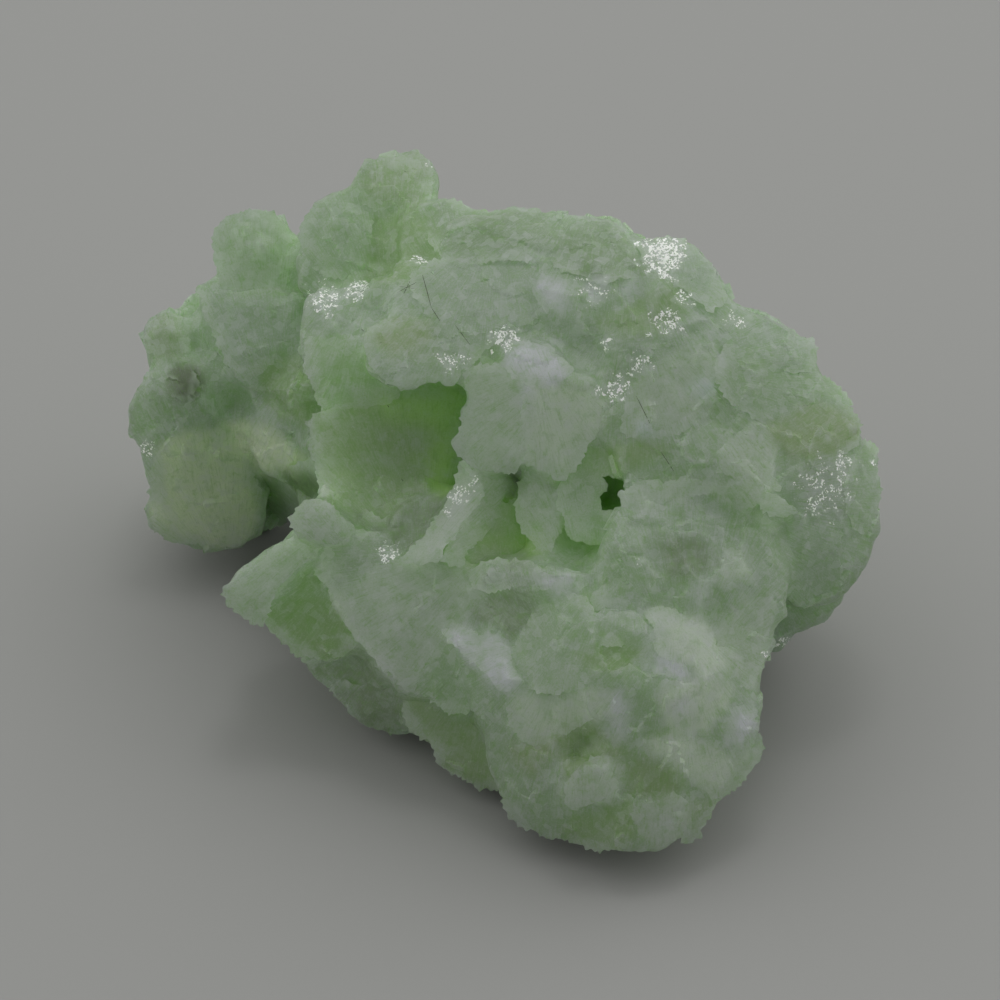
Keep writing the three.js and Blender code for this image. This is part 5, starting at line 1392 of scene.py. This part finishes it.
def makePrehnite():
    look = prehniteLook
    material = bpy.data.materials.new("prehnite")
    material.use_nodes = True
    tree = material.node_tree
    shader = tree.nodes["Principled BSDF"]
    place = nodeIn(tree, "ShaderNodeTexCoord").outputs["Object"]
    lines = onSkin(tree, "Lines", "Vector")
    glint, clear = onSkin(tree, "Glint"), onSkin(tree, "Clear")
    noise = {name: noiseNode(tree, lines if name == "streak" else place, *values)
             for name, values in look["noise"].items()}

    free = ranged(tree, onSkin(tree, "Openness"), 0.2, 0.65)
    # Painted shade, in part: the white veils thin out where little of the outside is open
    milky = product(tree, free, mathNode(tree, "SUBTRACT", 1.0, clear))
    solid = ranged(tree, clear, 0.8, 1.0, 1, 0)  # none of the veils in the darkest holes
    # Painted light: thin parts, where light shows through, and sharp ridges, where it catches, are paled
    thin = product(tree, ranged(tree, onSkin(tree, "Thickness"), 0.1, 1.6, 1, 0), look["thinGlowShare"])
    edge = product(tree, ranged(tree, onSkin(tree, "Ridge"), 0.5, 1.0), look["edgeLightShare"])
    # Painted shade: skin in hollows, where little of the outside is open, turns towards deep green
    paintedHollowShade = product(tree, mathNode(tree, "SUBTRACT", 1.0, free), look["hollowShadeShare"])
    colour = onSkin(tree, "Tone", "Color")
    colour = mixColour(tree, mathNode(tree, "MAXIMUM", thin, edge), colour, look["pale"])
    colour = mixColour(tree, product(tree, paintedHollowShade, solid), colour, look["deep"])

    fine = product(tree, mathNode(tree, "MULTIPLY_ADD", milky, 0.6, 0.4), solid)
    for name, low, high, share in look["veils"]:
        veil = product(tree, ranged(tree, noise[name], low, high), share)
        where = milky if name in ("cloudy", "mottle") else fine
        colour = mixColour(tree, product(tree, veil, where), colour, look["cloud"])
    for name, low, high, share in look["shades"]:
        shade = product(tree, ranged(tree, noise[name], low, high), share)
        colour = mixColour(tree, product(tree, shade, solid), colour, look["deep"])
    shards = channel(tree, cellsNode(tree, place, look["shards"])["Color"], 0)
    light = product(tree, ranged(tree, shards, 0.6, 1.0), look["shardShare"])
    colour = mixColour(tree, product(tree, light, milky), colour, look["cloud"])

    # Painted glints: a pale haze with flecks of the flash colour in it, more of them where the noise is high
    paintedGlintHaze = product(tree, glint, ranged(tree, noise["streak"], 0.38, 0.62, 0.1, 0.6))
    colour = mixColour(tree, paintedGlintHaze, colour, look["cloud"])
    flecks = channel(tree, cellsNode(tree, place, look["facets"])["Color"], 1)
    lit = mathNode(tree, "SUBTRACT", mathNode(tree, "MULTIPLY_ADD", glint, 0.4, flecks), 1.1)
    lit = mathNode(tree, "MULTIPLY_ADD", noiseNode(tree, place, 0.5, 2), 2.2, lit)
    paintedGlintFlecks = product(tree, ranged(tree, lit, 0.94, 1.06), ranged(tree, glint, 0.05, 0.3))
    colour = mixColour(tree, paintedGlintFlecks, colour, look["flash"])
    tree.links.new(colour, shader.inputs["Base Color"])

    shader.subsurface_method = "BURLEY"
    shader.inputs["Subsurface Weight"].default_value = look["scattered"]
    shader.inputs["Subsurface Radius"].default_value = look["scatter"]
    shader.inputs["Subsurface Scale"].default_value = look["reach"] * mm
    shader.inputs["IOR"].default_value = look["ior"]
    shader.inputs["Coat Roughness"].default_value = look["coatRoughness"]
    shader.inputs["Coat IOR"].default_value = look["ior"]
    coat = mathNode(tree, "MULTIPLY_ADD", glint, look["glintCoat"], product(tree, free, look["coat"]))
    tree.links.new(coat, shader.inputs["Coat Weight"])
    spread = look["roughnessSpread"]
    rough = mathNode(tree, "MULTIPLY_ADD", noise["mottle"], spread, look["roughness"] - spread / 2)
    tree.links.new(rough, shader.inputs["Roughness"])

    def facetBump(size, strength, below=None):  # each cell is a flat face with a tilt of its own
        cells = cellsNode(tree, place, size)
        offset = nodeIn(tree, "ShaderNodeVectorMath", operation="SUBTRACT")
        tree.links.new(place, offset.inputs[0])
        tree.links.new(cells["Position"], offset.inputs[1])
        turn = nodeIn(tree, "ShaderNodeVectorMath", operation="SUBTRACT")
        tree.links.new(cells["Color"], turn.inputs[0])
        turn.inputs[1].default_value = (0.5, 0.5, 0.5)
        tilt = nodeIn(tree, "ShaderNodeVectorMath", operation="DOT_PRODUCT")
        tree.links.new(offset.outputs[0], tilt.inputs[0])
        tree.links.new(turn.outputs[0], tilt.inputs[1])
        bump = nodeIn(tree, "ShaderNodeBump")
        bump.inputs["Strength"].default_value = strength
        bump.inputs["Distance"].default_value = 1.0
        tree.links.new(tilt.outputs["Value"], bump.inputs["Height"])
        if below is not None:
            tree.links.new(below, bump.inputs["Normal"])
        return bump.outputs[0]

    coarse = facetBump(*look["coarseBump"])
    tree.links.new(facetBump(look["facets"], look["fineBump"], coarse), shader.inputs["Coat Normal"])
    return material


skin.materials.clear()
skin.materials.append(makePrehnite())
skin.shade_smooth()
skin.set_sharp_from_angle(angle=clusterLook["sharp"])
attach(cluster, "root")
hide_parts("prehnite_cluster")


needleLook = {
    "radius": 0.035,
    "rings": 9,
    "turns": (0.3, 2.4, 4.5),  # angles of the points around a ring
    "colour": (0.035, 0.04, 0.02),
    "spots": (0.10, 0.12, 0.05),
    "spotSize": 0.3,
    "roughness": 0.5,
}

# Dark needles as thin as hairs that lie on the skin: right and up of both ends
needles = [
    ((-8.2, 16.6), (-6.7, 17.4)), ((-8.1, 17.1), (-6.8, 16.9)), ((-7.7, 16.5), (-7.2, 17.5)),
    ((-6.2, 18.0), (-5.5, 15.4)), ((-5.5, 15.4), (-4.8, 14.3)), ((-3.6, 14.0), (-2.4, 12.4)),
    ((10.9, 8.3), (12.0, 6.1)), ((12.9, 3.8), (13.9, 2.3)), ((-7.9, 1.7), (-7.75, 1.5)),
    ((-11.1, 13.7), (-10.9, 13.5)), ((-9.0, 7.6), (-8.9, 7.4)),
]


def makeNeedles():
    look = needleLook
    rings = look["rings"]
    tree = treeOf(skin)
    points, faces = [], []
    for start, end in needles:
        flat = np.linspace(start, end, rings)
        depth = depthSeen(tree, flat)
        line = fromSketch(flat[:, 0], flat[:, 1], np.where(np.isnan(depth), np.nanmean(depth), depth))
        first = len(points)
        for at, share in zip(line, np.linspace(0, 1, rings)):
            size = look["radius"] * (0.35 + 2.6 * share * (1 - share))  # thinner towards both ends
            for turn in look["turns"]:
                points.append(at + size * np.array((math.cos(turn), 0, math.sin(turn))))
        for ring in range(rings - 1):
            low = first + 3 * ring
            faces += [(low + k, low + (k + 1) % 3, low + 3 + (k + 1) % 3, low + 3 + k) for k in range(3)]
        last = first + 3 * (rings - 1)
        faces += [(first + 2, first + 1, first), (last, last + 1, last + 2)]
    made = meshFrom("needles", np.array(points), faces)
    bpy.context.scene.collection.objects.link(made)
    material = bpy.data.materials.new("needle")
    material.use_nodes = True
    tree = material.node_tree
    shader = tree.nodes["Principled BSDF"]
    place = nodeIn(tree, "ShaderNodeTexCoord").outputs["Object"]
    spotted = ranged(tree, noiseNode(tree, place, look["spotSize"]), 0.4, 0.65)
    colour = mixColour(tree, spotted, look["colour"], look["spots"])
    tree.links.new(colour, shader.inputs["Base Color"])
    shader.inputs["Roughness"].default_value = look["roughness"]
    made.data.materials.append(material)
    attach(made, "root")


makeNeedles()

floorLook = {"half": 0.6, "colour": (0.46, 0.46, 0.45), "roughness": 0.75}  # half its width, in metres


def makeFloor():
    half = floorLook["half"]
    mesh = bpy.data.meshes.new("floor")
    corners = [(-half, -half, 0), (half, -half, 0), (half, half * 2, 0), (-half, half * 2, 0)]
    mesh.from_pydata(corners, [], [(0, 1, 2, 3)])
    made = bpy.data.objects.new("floor", mesh)
    bpy.context.scene.collection.objects.link(made)
    material = bpy.data.materials.new("floor")
    material.use_nodes = True
    shader = material.node_tree.nodes["Principled BSDF"]
    shader.inputs["Base Color"].default_value = (*floorLook["colour"], 1)
    shader.inputs["Roughness"].default_value = floorLook["roughness"]
    mesh.materials.append(material)
    return made


floor = makeFloor()

# Place and size in metres, and power in watts
lights = {
    "ceiling": {"at": (0.045, 0.15, 0.60), "size": (0.15, 0.15), "power": 0.2},
    "room": {"at": (0.4, 0.45, 0.5), "size": (0.8, 0.8), "power": 0.5},
    "window": {"at": (-0.6, 0.1, 0.45), "size": (0.9, 0.9), "power": 0.12},
}
for name, look in lights.items():
    data = bpy.data.lights.new(name, "AREA")
    data.shape = "RECTANGLE"
    data.size, data.size_y = look["size"]
    data.energy = look["power"]
    light = bpy.data.objects.new(name, data)
    light.location = look["at"]
    light.rotation_euler = (-Vector(look["at"])).to_track_quat("-Z", "Y").to_euler()
    bpy.context.scene.collection.objects.link(light)

roomLook = {
    "colour": (0.96, 0.97, 0.95),
    "front": 0.155,  # strength of the light from the eye's side
    "back": 0.765,
    "sides": 0.32,  # added from the left and the right
}
world = bpy.data.worlds.new("room")
world.use_nodes = True
air = world.node_tree
background = air.nodes["Background"]
background.inputs["Color"].default_value = (*roomLook["colour"], 1)
direction = nodeIn(air, "ShaderNodeSeparateXYZ")
air.links.new(nodeIn(air, "ShaderNodeTexCoord").outputs["Generated"], direction.inputs[0])
fromBack = ranged(air, direction.outputs["Y"], -1.0, 1.0, roomLook["front"], roomLook["back"])
fromSides = product(air, direction.outputs["X"], direction.outputs["X"])
fromAll = mathNode(air, "MULTIPLY_ADD", fromSides, roomLook["sides"], fromBack)
air.links.new(fromAll, background.inputs["Strength"])
bpy.context.scene.world = world
bpy.context.scene.view_settings.view_transform = "Standard"

eye = fromSketch(0, 0, 0) * mm + towardsEye * sketch["eyeDistance"] * mm
cameraData = bpy.data.cameras.new("camera")
cameraData.sensor_width = 36
cameraData.lens = cameraData.sensor_width * sketch["eyeDistance"] / sketch["frameWidth"]
cameraData.clip_start = 0.01
camera = bpy.data.objects.new("camera", cameraData)
camera.location = eye
camera.rotation_euler = Vector(-towardsEye).to_track_quat("-Z", "Y").to_euler()
bpy.context.scene.collection.objects.link(camera)
bpy.context.scene.camera = camera
